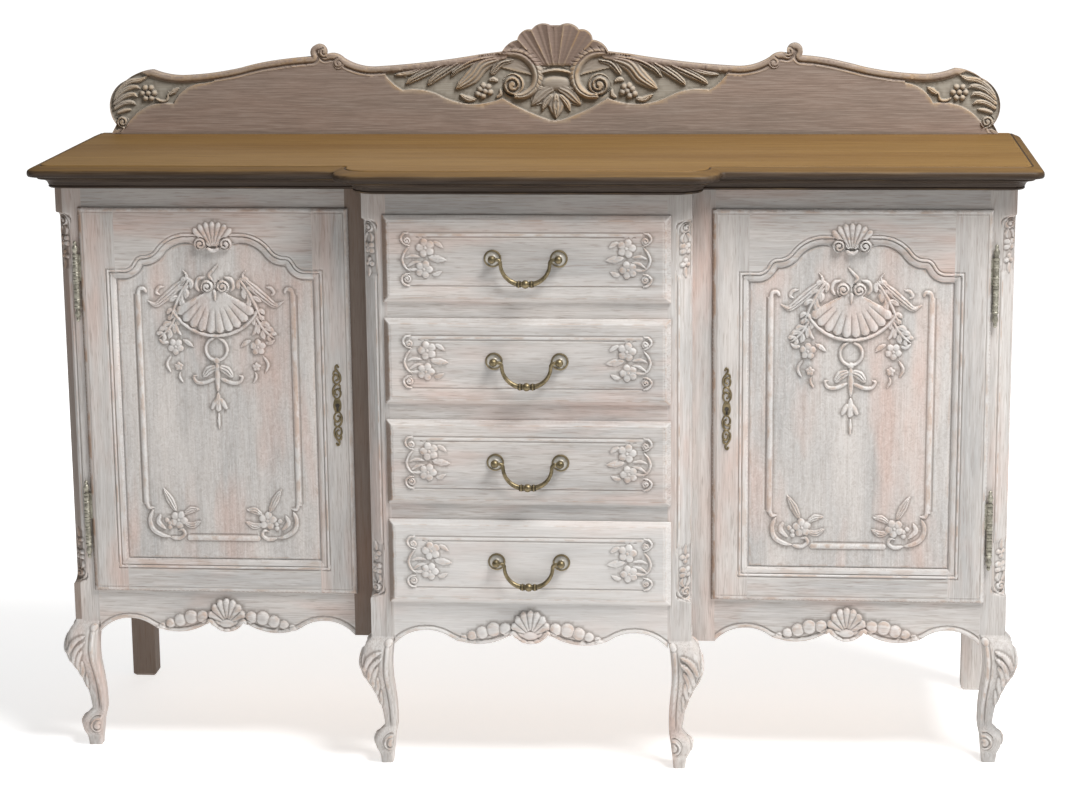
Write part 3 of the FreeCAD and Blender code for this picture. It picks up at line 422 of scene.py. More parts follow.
def agedMetal(name, seed, tones, roughness):
    graph = Graph(name)
    bright, dull, dark = metal[tones]
    place = graph.grain("x", seed)
    cloud = graph.noise(place, metal["cloud"], 4, 0.6)
    speck = graph.noise(place, metal["speck"], 3)
    wear = graph.attribute("wear")
    color = graph.mix(cloud.between(0.38, 0.64), bright, dull)
    color = graph.mix(speck.between(0.56, 0.72) * 0.6, color, dark)
    color = graph.mix(wear.between(0.1, 0.8) * 0.7, color, bright)
    color = graph.mix(wear.between(-0.1, -0.8) * 0.7, color, dark)
    wax = graph.attribute("sunk") * cloud.between(0.2, 0.45)
    color = graph.mix(wax, color, metal["wax"])
    normal = graph.bump(cloud * 0.7 + speck * 0.3, 0.12, 0.0005)
    return graph.finish(color, cloud * 0.25 + roughness, normal, 0.9 - wax * 0.8)


oakX, oakY, oakZ = (limedOak("limedOak" + axis.upper(), axis, k) for k, axis in enumerate("xyz", 1))
oakPanel = limedOak("limedOakFigured", "z", 7, figure=0.34)
# a shaded copy of the limed oak: painted shade, with some unfinished brown, for pieces that the light from the right
# leaves in shadow
oakShaded = limedOak("limedOakBrownShade", "z", 5, brown=0.76)
oakPale = limedOak("limedOakPale", "x", 9, pale=0.40)
topOak = brownOak("brownTopOak", 2)
crestOak = greyOak("washedCrestOak", 3)
plainX, plainY, plainZ = (plainOak("plainOak" + axis.upper(), axis, k) for k, axis in enumerate("xyz", 1))
brass = agedMetal("agedBrass", 4, "brass", 0.36)
hingeMetal = agedMetal("washedHingeMetal", 6, "hinge", 0.42)
lockIron = agedMetal("lockIron", 8, "iron", 0.45)
print("stage: finishes")


# outlines
def runPath(steps, gap=3.0):  # a step is a point, or a middle point and an end point of an arc
    path = [np.array(steps[0][-2:], float)]
    for step in steps[1:]:
        start, end = path[-1], np.array(step[-2:], float)
        if len(step) == 2:
            count = max(1, int(np.hypot(*(end - start)) / gap))
            path += [start + (end - start) * k / count for k in range(1, count + 1)]
            continue
        middle = np.array(step[:2], float)
        sums = [np.dot(p, p) / 2 for p in (start, middle, end)]
        slopes = np.array([middle - start, end - start])
        center = np.linalg.solve(slopes, [sums[1] - sums[0], sums[2] - sums[0]])
        angles = [math.atan2(*(p - center)[::-1]) for p in (start, middle, end)]
        turn = (angles[2] - angles[0]) % math.tau
        if (angles[1] - angles[0]) % math.tau > turn:
            turn -= math.tau
        radius = np.hypot(*(start - center))
        count = max(2, int(abs(turn) * radius / gap))
        for k in range(1, count + 1):
            angle = angles[0] + turn * k / count
            path.append(center + radius * np.array([math.cos(angle), math.sin(angle)]))
    return np.array(path)


def softPath(knots, count=10):  # smooth curve through the knots
    knots = np.array(knots, float)
    padded = np.vstack([2 * knots[0] - knots[1], knots, 2 * knots[-1] - knots[-2]])
    path = []
    for a, b, c, d in zip(padded, padded[1:], padded[2:], padded[3:]):
        for t in np.linspace(0, 1, count, endpoint=False):
            path.append(0.5 * (2 * b + (c - a) * t + (2 * a - 5 * b + 4 * c - d) * t ** 2
                               + (3 * b - a - 3 * c + d) * t ** 3))
    return np.array(path + [knots[-1]])


def arcPath(center, radii, start, end, count=40):
    angles = np.radians(np.linspace(start, end, count))
    return np.array(center) + np.column_stack([radii[0] * np.cos(angles), radii[1] * np.sin(angles)])


def mirrorPath(path):  # right half and its mirror image, as one run
    return np.vstack([path, path[::-1] * (-1, 1)])


def smoothStep(value, low, high):
    share = np.clip((value - low) / (high - low), 0, 1)
    return share * share * (3 - 2 * share)


def hump(value, place, width):  # 1 at a place, dying away on both sides
    return np.exp(-((value - place) / width) ** 2)


def inOutline(points, outline):
    inside = np.zeros(len(points), bool)
    x, z = points.T
    for (ax, az), (bx, bz) in zip(outline, np.roll(outline, -1, 0)):
        if az != bz:
            crosses = (az > z) != (bz > z)
            inside ^= crosses & (x < (bx - ax) * (z - az) / (bz - az) + ax)
    return inside


def lineGap(points, path):  # least distance from each point to the path
    gap = np.full(len(points), 1e9)
    for start, end in zip(path, path[1:]):
        run = end - start
        share = np.clip((points - start) @ run / max(run @ run, 1e-9), 0, 1)
        gap = np.minimum(gap, np.hypot(*(points - start - share[:, None] * run).T))
    return gap


def placing(across=0.0, up=0.0, way=1, rise=1):  # puts drawn knots in place, mirrored where way or rise is -1
    return lambda knots: [(across + way * a, up + rise * b) for a, b in knots]


# carving, as heights over a flat ground
class Carving:
    def __init__(self, points, ground=0.0):
        self.points = points
        self.ground = np.zeros(len(points)) + ground
        self.height = self.ground.copy()

    def near(self, low, high):
        return np.nonzero(((self.points > low) & (self.points < high)).all(1))[0]

    def lift(self, index, value):
        self.height[index] = np.maximum(self.height[index], self.ground[index] + value)

    def follow(self, path, reach):  # nearby points, their distance from the path and their share along it
        index = self.near(path.min(0) - reach, path.max(0) + reach)
        points = self.points[index]
        gap, share = np.full(len(index), 1e9), np.zeros(len(index))
        lengths = np.hypot(*np.diff(path, axis=0).T)
        total, done = lengths.sum(), 0.0
        for start, end, length in zip(path, path[1:], lengths):
            run = end - start
            along = np.clip((points - start) @ run / max(run @ run, 1e-9), 0, 1)
            away = np.hypot(*(points - start - along[:, None] * run).T)
            closer = away < gap
            gap[closer] = away[closer]
            share[closer] = (done + along[closer] * length) / total
            done += length
        return index, gap, share

    def stroke(self, knots, width, height, ends=(0.12, 0.12), ribs=1, soft=True):
        path = softPath(knots) if soft and len(knots) > 2 else np.array(knots, float)
        wide = np.atleast_1d(np.array(width, float))
        index, gap, share = self.follow(path, wide.max())
        taper = np.minimum(share / max(ends[0], 1e-6), (1 - share) / max(ends[1], 1e-6))
        taper = np.sqrt(np.clip(taper, 0, 1))
        reach = np.interp(share, np.linspace(0, 1, len(wide)), wide) / 2 * taper + 1e-6
        inside = gap < reach
        across, taper = gap[inside] / reach[inside], taper[inside]
        value = height * (0.4 + 0.6 * taper) * (1 - across ** 2) ** 0.7
        for place in {abs(1 - 2 * k / ribs) for k in range(1, ribs)}:
            value -= 0.26 * height * hump(across, place, 0.15) * taper
        self.lift(index[inside], value)

    def strokes(self, rows, place=list, ends=(0.12, 0.12)):  # rows of knots, widths, height and ribs
        for knots, width, height, ribs in rows:
            self.stroke(place(knots), width, height, ends, ribs)

    def leaf(self, knots, width, height, lobes):  # a curved rib with lobes on both sides
        path = softPath(knots)
        for k in range(lobes):
            share = 0.05 + 0.75 * k / (lobes - 1)
            start = int(share * (len(path) - 2))
            root, after = path[start], path[start + 1]
            ahead = (after - root) / np.hypot(*(after - root))
            size = width / 2 * math.sin(math.pi * (0.32 + 0.52 * share))
            for out in (np.array([-ahead[1], ahead[0]]), np.array([ahead[1], -ahead[0]])):
                bend = root + ahead * size * 0.35 + out * size * 0.6
                tip = root + ahead * size * 1.15 + out * size
                self.stroke([root, bend, tip], (size * 0.6, size, size * 0.6), height * 0.85, (0.1, 0.25), ribs=2)
        self.stroke(path, (width * 0.2, width * 0.26, width * 0.1), height, (0.1, 0.15), soft=False)

    def groove(self, knots, width, depth, soft=True):
        path = softPath(knots) if soft and len(knots) > 2 else np.array(knots, float)
        index, gap, _ = self.follow(path, width)
        cutIn = depth * np.sqrt(np.clip(1 - (gap / (width / 2)) ** 2, 0, 1))
        self.height[index] -= cutIn

    def dome(self, center, radius, height, stretch=1.0, turn=0.0, flat=2):
        reach = radius * max(1, stretch)
        index = self.near(np.array(center) - reach, np.array(center) + reach)
        dx, dz = (self.points[index] - center).T
        angle = math.radians(turn)
        along = (dx * math.cos(angle) + dz * math.sin(angle)) / stretch
        across = dz * math.cos(angle) - dx * math.sin(angle)
        share = np.hypot(along, across) / radius
        inside = share < 1
        self.lift(index[inside], height * np.sqrt(1 - share[inside] ** flat))

    def flower(self, center, radius, height, petals=5, turn=20):
        for k in range(petals):
            angle = math.radians(turn + 360 * k / petals)
            spot = np.array(center) + radius * 0.55 * np.array([math.cos(angle), math.sin(angle)])
            self.dome(spot, radius * 0.42, height * 0.85, 1.15, math.degrees(angle), flat=3)
        self.dome(center, radius * 0.24, height)

    def berries(self, center, radius, spots, height):
        for dx, dz in spots:
            self.dome((center[0] + dx * radius, center[1] + dz * radius), radius, height)

    def volute(self, center, radius, height, turns, start, way):  # a boss with a spiral cut into it
        self.dome(center, radius, height, flat=4)
        shares = np.linspace(0, 1, 44)
        angles = np.radians(start) + way * shares * turns * math.tau
        radii = radius * (0.98 - 0.74 * shares)
        path = np.array(center) + np.stack([radii * np.cos(angles), radii * np.sin(angles)], 1)
        self.groove(path, radius * 0.26, height * 0.6, soft=False)
        self.dome(center, radius * 0.24, height * 1.1)

    def volutes(self, rows, place, way):  # rows of middle, radius, height, turns, start and winding
        for center, radius, height, turns, start, winding in rows:
            begin = start if way > 0 else 180 - start
            self.volute(*place([center]), radius, height, turns, begin, way * winding)

    def shell(self, center, inner, outer, low, high, ribs, height, lobe, hollow=False, smooth=0.0, squeeze=1.0):
        index = self.near(np.array(center) - outer, np.array(center) + outer)
        dx, dz = ((self.points[index] - center) / (squeeze, 1)).T
        radius = np.hypot(dx, dz)
        angle = np.degrees(np.arctan2(dz, dx)) % 360
        share = ((angle - low) % 360) / (high - low)
        wave = np.abs(np.sin(math.pi * ribs * share))
        rim = outer * (1 - lobe * (1 - wave))
        inside = (share <= 1) & (radius > inner) & (radius < rim)
        along, wave = ((radius - inner) / (rim - inner))[inside], wave[inside]
        flute = 1 - wave ** 0.7 * 0.85 if hollow else np.sqrt(wave)
        if hollow:  # a fine ridge down the middle of each hollow
            flute += 0.22 * hump(wave, 1, 0.05)
        flute = flute + (0.8 - flute) * (1 - smoothStep(along, smooth - 0.15, smooth + 0.15)) * (smooth > 0)
        roll = np.sqrt(np.clip(1 - ((along - 0.86) / 0.14).clip(0) ** 2, 0, 1))
        value = height * (0.45 + 0.55 * along) * (0.42 + 0.58 * flute) * (0.35 + 0.65 * roll)
        self.lift(index[inside], value)


# meshes
class Build:  # gathers closed meshes into one piece
    def __init__(self):
        self.points, self.faces, self.count = [], [], 0
        self.marks = {"wear": [], "sunk": [], "edge": []}

    def add(self, points, faces, **marks):
        self.points.append(np.asarray(points, float))
        self.faces += [[index + self.count for index in face] for face in faces]
        self.count += len(points)
        for key, values in self.marks.items():
            values.append(np.zeros(len(points)) + marks.get(key, 0.0))

    def piece(self, name, material, body, slot, nodes=(), crease=40):
        mesh = bpy.data.meshes.new(name)
        mesh.from_pydata((np.vstack(self.points) * mm).tolist(), [], self.faces)
        for key, values in self.marks.items():
            mark = mesh.attributes.new(key, "FLOAT", "POINT")
            mark.data.foreach_set("value", np.concatenate(values).astype(np.float32))
        mesh.materials.append(material)
        mesh.shade_smooth()
        mesh.set_sharp_from_angle(angle=math.radians(crease))
        piece = bpy.data.objects.new(name, mesh)
        bpy.context.collection.objects.link(piece)
        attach(piece, body)
        if nodes:
            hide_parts(*nodes)


def atHeight(ring, z):
    return np.column_stack([ring, np.full(len(ring), z)])


def atDepth(flat, y):  # points drawn in x and z, stood up at a depth
    return np.column_stack([flat[:, 0], np.zeros(len(flat)) + y, flat[:, 1]])


def triangulate(outline, inner):
    count = len(outline)
    spots = [Vector(point) for point in np.vstack([outline, inner]) if len(point)]
    rim = [(k, (k + 1) % count) for k in range(count)]
    points, _, triangles, *_ = delaunay_2d_cdt(spots, rim, [list(range(count))], 1, 1e-5)
    return np.array([tuple(p) for p in points]), np.array(triangles)


moves = [(shift, axis) for axis in (0, 1) for shift in (-1, 1)]


def ridges(field, rounds, scale):  # above 0 on the ridges of a lattice of heights, below 0 in its hollows
    soft = np.pad(field, rounds, mode="edge")
    for _ in range(rounds):
        soft = (soft + sum(np.roll(soft, *move) for move in moves)) / 5
    return np.clip((field - soft[rounds:-rounds, rounds:-rounds]) / scale, -1, 1)


def fillOutline(axes, outline):  # which points of a lattice lie inside
    ax, az = outline.T
    bx, bz = np.roll(outline, -1, 0).T
    inside = np.zeros((len(axes[0]), len(axes[1])), bool)
    for row, x in zip(inside, axes[0]):
        cross = (ax > x) != (bx > x)
        hits = az[cross] + (bz - az)[cross] * (x - ax[cross]) / (bx - ax)[cross]
        row[:] = np.searchsorted(np.sort(hits), axes[1]) % 2 == 1
    return inside


plate = {
    "offset": 0.37,  # of the lattice from the corner of the outline, in cells
    "bend": 0.04,  # change of height from cell to cell that keeps the lattice fine
    "coarse": 6,  # cells from line to line where the face is flat
    "footDustAndShade": 0.5,  # height of the rim along the foot that is darkened with dust and painted shade
}


def addPlate(build, outline, step, shape, front, back, rounds=6, scale=0.5, rub=0.3):
    # a carved board: its outline in x and z, its carved face toward the viewer, fine only where it is carved
    outline = np.asarray(outline, float)
    nextOne = np.roll(outline, -1, 0)
    if (outline[:, 0] * nextOne[:, 1] - nextOne[:, 0] * outline[:, 1]).sum() < 0:
        outline = outline[::-1]
    low, high = outline.min(0), outline.max(0)
    counts = np.ceil((high - low) / step).astype(int) + 1
    axes = [start + (np.arange(count) - plate["offset"]) * step for start, count in zip(low, counts)]
    lattice = np.stack(np.meshgrid(*axes, indexing="ij"), -1)
    field, sunk = shape(lattice.reshape(-1, 2))
    field, sunk = field.reshape(counts), (np.zeros(field.size) + sunk).reshape(counts)
    keep, inside = [], fillOutline(axes, outline)
    for axis in (0, 1):
        bend = np.abs(np.roll(field, 1, axis) + np.roll(field, -1, axis) - 2 * field) > plate["bend"]
        for move in moves:
            bend = bend | np.roll(bend, *move)
        line = np.arange(counts[axis]) % plate["coarse"] == 0
        keep.append(bend | (line[:, None] if axis == 0 else line[None, :]))
    deep = inside & np.all([np.roll(inside, *move) for move in moves], axis=0)
    ridge = ridges(field, rounds, scale)
    flat, triangles = triangulate(outline, lattice[keep[0] & keep[1] & deep])
    cells = np.clip(np.rint((flat - low) / step + plate["offset"]).astype(int), 0, counts - 1)
    column, row = cells.T
    height, wear, sunk = field[column, row], ridge[column, row], sunk[column, row]
    off = np.abs(flat - lattice[column, row]).max(1) > 0.01
    height[off] = shape(flat[off])[0]
    pairs = {}
    for a, b, c in triangles.tolist():
        for edge in ((a, b), (b, c), (c, a)):
            pairs[edge] = True
    rim = [edge for edge in pairs if edge[::-1] not in pairs]
    follow = dict(rim)
    loop = [rim[0][0]]
    while follow[loop[-1]] != loop[0]:
        loop.append(follow[loop[-1]])
    wear[loop] = np.where(flat[loop][:, 1] > low[1] + plate["footDustAndShade"], rub, -rub)  # the foot rim gets dust and painted shade; the other rims are rubbed pale
    points, rear = atDepth(flat, front - height), atDepth(flat[loop], back)
    start = len(points)
    faces = triangles.tolist()
    for k, a in enumerate(loop):
        after = (k + 1) % len(loop)
        faces.append([a, start + k, start + after, loop[after]])
    _, closing = triangulate(flat[loop], np.zeros((0, 2)))
    faces += [[start + c, start + b, start + a] for a, b, c in closing.tolist()]
    build.add(np.vstack([points, rear]), faces, wear=np.concatenate([wear, np.zeros(len(loop))]),
              sunk=np.concatenate([sunk, np.zeros(len(loop))]))


def addLoft(build, rings, wear=0.0, edge=0.0, sunk=0.0):  # rings of equal length, closed at both ends
    size = len(rings[0])
    faces = [list(range(size))[::-1]]
    for k in range(len(rings) - 1):
        for j in range(size):
            after = (j + 1) % size
            faces.append([k * size + j, k * size + after, (k + 1) * size + after, (k + 1) * size + j])
    faces.append([(len(rings) - 1) * size + j for j in range(size)])
    build.add(np.vstack(rings), faces, wear=wear, edge=edge, sunk=sunk)


def addBox(build, low, high, ease):  # a board with eased edges
    rings = []
    for z, inset in ((low[2], ease), (low[2] + ease, 0), (high[2] - ease, 0), (high[2], ease)):
        ring = []
        for x, y, sx, sy in ((low[0], low[1], 1, 1), (high[0], low[1], -1, 1),
                             (high[0], high[1], -1, -1), (low[0], high[1], 1, -1)):
            first, second = (ease + inset, inset), (inset, ease + inset)
            turns = (second, first) if sx == sy else (first, second)
            ring += [(x + sx * a, y + sy * b, z) for a, b in turns]
        rings.append(np.array(ring))
    addLoft(build, rings)


def addTurned(build, profile, place, axis, count, wear, sunk=0.0):  # a profile of radius and distance
    angles = np.arange(count) * math.tau / count
    ahead = Vector(axis).normalized()
    first = ahead.orthogonal().normalized()
    second = ahead.cross(first)
    circle = np.outer(np.cos(angles), first) + np.outer(np.sin(angles), second)
    rings = [np.array(place) + max(radius, 0.02) * circle + along * np.array(ahead) for radius, along in profile]
    addLoft(build, rings, wear=wear, sunk=sunk)


lipGap = 0.3  # from the lip of a door or drawer to the frame behind it

# plan of the top: the wings, the step forward and the rounded corners
topLow, topHigh = span("top_board")
bodyHalf = span("post_back_right")[1][0]
wingFront = span("stile_right")[0][1]
stepX = span("stile_right")[0][0]
middleFront = span("drawer_dividers")[0][1]
plan = {"outerCorner": 22.0, "innerCorner": 9.0, "frontCorner": 45.0, "flare": 6.0, "facets": 12}


def planRing(reach):  # edge at a reach beyond the carcass, from the right rear to the left rear
    side, wing = bodyHalf + reach, wingFront - reach
    step, middle = stepX + reach + plan["flare"], middleFront - reach
    outer, inner, front = plan["outerCorner"], plan["innerCorner"], plan["frontCorner"]
    corners = ((side - outer, wing + outer, outer, 0, -90), (step + inner, wing - inner, inner, 90, 180),
               (step - front, middle + front, front, 0, -90))
    half = [(side, topHigh[1])]
    for x, y, radius, start, end in corners:
        for angle in np.radians(np.linspace(start, end, plan["facets"])):
            half.append((x + radius * math.cos(angle), y + radius * math.sin(angle)))
    return mirrorPath(np.array(half))


topBoard = {
    # inset from the nose, height above the foot of the board, share of edge stain, wear; in the groove both the stain
    # and the wear below 0 paint its shade
    "profile": ((26, 0, 1, 0), (5, 0, 1, 0), (1.6, 1.0, 1, 0), (0.3, 3.4, 1, 0), (0, 7, 0.95, 0.1),
                (0.5, 10, 0.9, 0.2), (1.5, 12.0, 0.85, 0.3), (2.4, 12.6, 0.5, 0.3), (5, 14.3, 0.42, 0.3),
                (9, 15.8, 0.40, 0.1), (13.5, 17.6, 0.38, 0.1), (16.6, 18.9, 0.3, 0.1), (17.4, 17.9, 0.75, -0.8),
                (19.6, 17.7, 0.75, -0.8), (20.6, 19.6, 0.1, 0.5), (22.0, 20, 0, 0.5), (26, 20, 0, 0)),
}


def makeTopBoard():
    insets, heights, stains, rubs = zip(*topBoard["profile"])
    reach = topHigh[0] - bodyHalf
    rings = [atHeight(planRing(reach - inset), topLow[2] + height)[::-1] for inset, height in zip(insets, heights)]
    build = Build()
    addLoft(build, rings, wear=np.repeat(rubs, len(rings[0])), edge=np.repeat(stains, len(rings[0])))
    build.piece("topBoard", topOak, "carcass", "brown_oak", ["top_board"], crease=50)


cornice = {
    # reach beyond the carcass, height above its foot, wear, which darkens the creases below 0
    "profile": ((-8, 0, 0), (8, 0, 0), (10.5, 0.6, 0.2), (12.2, 2.2, 0.4), (12.4, 4.0, 0.2), (11.4, 5.4, -0.5),
                (12.6, 6.2, -0.4), (13.2, 9.0, 0), (15.2, 12.4, 0), (18.6, 15.0, 0), (22.6, 16.6, 0.1),
                (23.4, 17.0, -0.5), (26.8, 17.2, -0.2), (28, 18.2, 0.4), (28, 21.5, 0), (24, 22, 0), (-8, 22, 0)),
}


def makeCornice():
    foot = span("cornice")[0][2]
    loops = [atHeight(planRing(reach), foot + height) for reach, height, _ in cornice["profile"]]
    stations = [np.array(station) for station in zip(*loops)]
    rubs = [rub for *_, rub in cornice["profile"]]
    build = Build()
    addLoft(build, stations, wear=np.tile(rubs, len(stations)), edge=1.0)
    build.piece("corniceMoulding", topOak, "carcass", "brown_oak", ["cornice"], crease=50)


makeTopBoard()
makeCornice()
print("stage: top board and cornice")


# gallery: crest outline, lower border of the carving, then the carving itself
galleryLow, galleryHigh = span("gallery")
gallery = {
    "shift": 12.0,  # of the crest to the right
    "middle": 14.0,  # of the shell
    "relief": 5.0,
    "beadWidth": 10.0,
    "beadRise": 2.4,
    "sunkDepth": 4.2,
    "plain": (318, 642),  # the stretch without carving, from the middle
    "gap": 1.5,
    "crest": [(828, 0), (818, 18), (829, 58, 796, 101), (774, 114, 746, 120), (722, 112.5, 690, 109),
              (637, 113, 579, 123), (516, 137, 454, 144), (441, 167, 428, 148), (415, 150, 396, 141),
              (372, 129.5, 330, 125), (236, 133, 139, 147), (98, 152), (86, 167, 69, 173),
              (63, 187, 44, 192), (27, 203, 9, 200)],
    "border": [(800, 13), (772, 43, 707, 56), (686, 82, 650, 94), (560, 111, 452, 128), (424, 120),
               (380, 117, 318, 111), (306, 96, 285, 81), (252, 82, 215, 71), (150, 55, 98, 66), (58, 44, 10, 25)],
    # leaf strokes right of the middle: knots, widths, height, ribs
    "leaves": [([(78, 138), (103, 132), (121, 110)], (10, 18, 10), 8.0, 3),
               ([(100, 146), (150, 138), (182, 122), (196, 106)], (12, 18, 17, 8), 8.4, 3),
               ([(98, 142), (135, 131), (157, 106), (188, 84)], (14, 31, 29, 10), 9.4, 4),
               ([(176, 136), (204, 119), (226, 104), (240, 91)], (8, 18, 17, 9), 8.0, 3),
               ([(208, 130), (242, 115), (268, 102), (281, 93)], (8, 17, 16, 8), 7.4, 3),
               ([(240, 126), (270, 115), (302, 110)], (6, 12, 4), 6.4, 2)],
    "scroll": [(112, 152), (68, 151), (44, 135), (34, 111), (40, 87), (58, 73), (80, 71)],
    "scrollWidths": (14, 22, 25, 25, 22, 18, 12),
    "scrollHeight": 10.5,
    # volutes, as middle, radius, height, turns, start and winding
    "scrollEyes": [((80, 92), 21, 10.5, 1.9, 270, 1)],
    "endEyes": [((806, 23), 12, 7.0, 1.6, 20, 1)],
    "knobs": [((431, 153), 11, 3.4, 1.4, 250, 1), ((404, 132), 11, 2.6, 1.3, 80, -1)],
    "lobes": [([(-2, 88), (-24, 77), (-46, 54)], (22, 40, 18), 7.5, 5),
              ([(-24, 88), (-42, 82), (-60, 74)], (7, 13, 5), 7.5, 2),
              ([(-6, 74), (-20, 58), (-26, 42)], (9, 15, 5), 7.5, 2)],
    "sprigs": [([(108, 98), (118, 102), (126, 99)], (5, 10, 4), 6.5, 2),
               ([(148, 66), (163, 65), (180, 74)], (6, 13, 4), 6.5, 2),
               ([(112, 68), (104, 74), (104, 84)], (4, 9, 4), 6.0, 2)],
    "cluster": ((0, 0), (1.5, 0.6), (0.6, 1.6), (-0.9, 1.3), (-1.4, -0.3), (0.7, -1.4), (2.2, -0.8)),
    "endLeaves": [([(821, 68), (806, 87), (788, 99), (768, 102), (753, 110)], (6, 10, 12, 10, 4), 6.6, 2),
                  ([(823, 62), (802, 82), (781, 89), (770, 85)], (7, 12, 12, 5), 6.8, 2),
                  ([(824, 54), (804, 69), (785, 75), (775, 69)], (7, 12, 11, 4), 6.6, 2),
                  ([(823, 46), (806, 57), (789, 60), (779, 55)], (7, 11, 10, 4), 6.4, 2),
                  ([(817, 39), (802, 44), (788, 46)], (6, 9, 4), 5.6, 1),
                  ([(742, 68), (731, 62), (720, 64), (716, 79)], (4, 6, 6, 3), 5.8, 1),
                  ([(716, 74), (706, 80), (696, 87)], (5, 12, 4), 6.2, 2)],
    # under the shell: a band, and a drop
    "heart": [([(-34, 113), (0, 119), (34, 113)], 6, 8.5, 1)],
    "drop": [([(0, 76), (0, 54), (0, 29)], (16, 32, 10), 8.5, 4)],
    # the crest's shell: its middle, its field, and its radii, angles, ribs and height
    "shell": {"level": 98, "rim": (104, 125), "half": 96, "foot": 128, "slope": (118, 0.30), "shoulder": 148,
              "flutes": (30, 128, 14, 166, 9, 7.6)},
}


def crestPath(steps, gap=6.0):
    path = mirrorPath(runPath(steps, gap))
    near = 1 - smoothStep(np.abs(path[:, 0]), 460, 560)
    return path + np.column_stack([gallery["shift"] * near, np.full(len(path), topHigh[2])])


def galleryShape(points):
    top, border = crestPath(gallery["crest"])[1:-1], crestPath(gallery["border"])
    middle, foot = gallery["middle"], topHigh[2]
    edgeGap, borderGap = lineGap(points, top), lineGap(points, border)
    x, z = np.abs(points[:, 0] - middle), points[:, 1] - foot
    shell, (level, radius) = gallery["shell"], gallery["shell"]["rim"]
    fan = (np.hypot(x, z - level) < radius) & (z > shell["foot"] - x * 0.02) & (x < shell["half"])
    fan &= z > shell["slope"][0] + x * shell["slope"][1]
    fan &= (z > shell["shoulder"]) | (x < 36 + 0.42 * np.maximum(z - 111, 0) + 1.1 * np.maximum(z - 135, 0))
    zone = inOutline(points, np.vstack([top, border[::-1]]))
    zone &= (x < gallery["plain"][0]) | (x > gallery["plain"][1])
    leafy = smoothStep(np.abs(points[:, 0]), 746, 770)  # the ends carry leaves in place of the bead
    inset = smoothStep(borderGap, 0, 1.8) * smoothStep(edgeGap + 12 * leafy, 12, 14.5)
    sunk = np.where(zone, inset, 0.0)
    ground = np.where(fan, -1.0, -gallery["sunkDepth"] * sunk)
    carve = Carving(points, ground)
    wide, rise = gallery["beadWidth"], gallery["beadRise"]
    bead = ~fan & (edgeGap < wide)
    carve.height[bead] += rise * (1 - leafy[bead]) * np.sqrt(1 - ((edgeGap[bead] - wide / 2) / (wide / 2)) ** 2)
    plain = ~fan & (sunk < 0.5)
    carve.height[plain] -= 1.5 * hump(edgeGap[plain], 11.6, 1.5)
    carve.height[plain] += 0.9 * hump(edgeGap[plain], 15.4, 1.3)
    carve.shell((middle, foot + shell["level"]), *shell["flutes"], lobe=0.0, hollow=True)
    carve.height = np.where(fan, carve.height, np.minimum(carve.height, ground + 3.2))
    carve.ground = np.where(zone, -gallery["sunkDepth"], ground)
    for way in (-1, 1):
        spot, end = placing(middle, foot, way), placing(0, foot, way)
        carve.strokes(gallery["leaves"], spot, (0.12, 0.10))
        path = softPath(spot(gallery["scroll"]))
        carve.stroke(path, gallery["scrollWidths"], gallery["scrollHeight"], (0.05, 0.02), ribs=2, soft=False)
        for k in range(3, 42, 3):  # slanting cuts over the back of the scroll
            ahead = path[k + 1] - path[k]
            ahead /= np.hypot(*ahead)
            out = np.array([-ahead[1], ahead[0]]) * way
            carve.groove([path[k] - out * 3, path[k] - out * 11 + ahead * 6], 2.4, 1.3, soft=False)
        carve.volutes(gallery["scrollEyes"], spot, way)
        carve.strokes(gallery["lobes"], spot, (0.12, 0.25))
        carve.berries(*spot([(132, 80)]), 6.2, placing(way=way)(gallery["cluster"]), 8.5)
        carve.strokes(gallery["sprigs"], spot)
        carve.strokes(gallery["endLeaves"], end, (0.1, 0.12))
        carve.volutes(gallery["endEyes"], end, way)
        petals = [(0, 0)] + [(2 * math.cos(k * math.pi / 3), 2 * math.sin(k * math.pi / 3)) for k in range(6)]
        carve.berries(*end([(755, 77)]), 5.6, petals, 7.6)
        carve.volutes(gallery["knobs"], placing(gallery["shift"], foot, way), way)
    spot = placing(middle, foot)
    carve.strokes(gallery["heart"], spot)
    carve.dome(*spot([(0, 94)]), 14, 7.0, 2.2)
    carve.strokes(gallery["drop"], spot, (0.12, 0.25))
    for level in (121, 125, 129):
        reach = 30 - (129 - level)
        carve.groove([(middle - reach, foot + level), (middle + reach, foot + level)], 2.6, 1.0)
    raised = smoothStep(carve.height - ground, 0.8, 2.5)
    return carve.height, np.where(fan, -1.0, sunk * (1 - 0.35 * raised))


def makeGallery():
    outline = crestPath(gallery["crest"], 2.2)
    build = Build()
    face = galleryLow[1] + gallery["relief"]
    # the crest's rims are painted pale amber, which is wear with a painted highlight along the lit top edge; its foot
    # rim is darkened
    addPlate(build, outline, gallery["gap"], galleryShape, face, galleryHigh[1], rounds=9, scale=0.8, rub=1.0)
    build.piece("galleryBoard", crestOak, "carcass", "grey_oak", ["gallery"])


makeGallery()
print("stage: gallery")


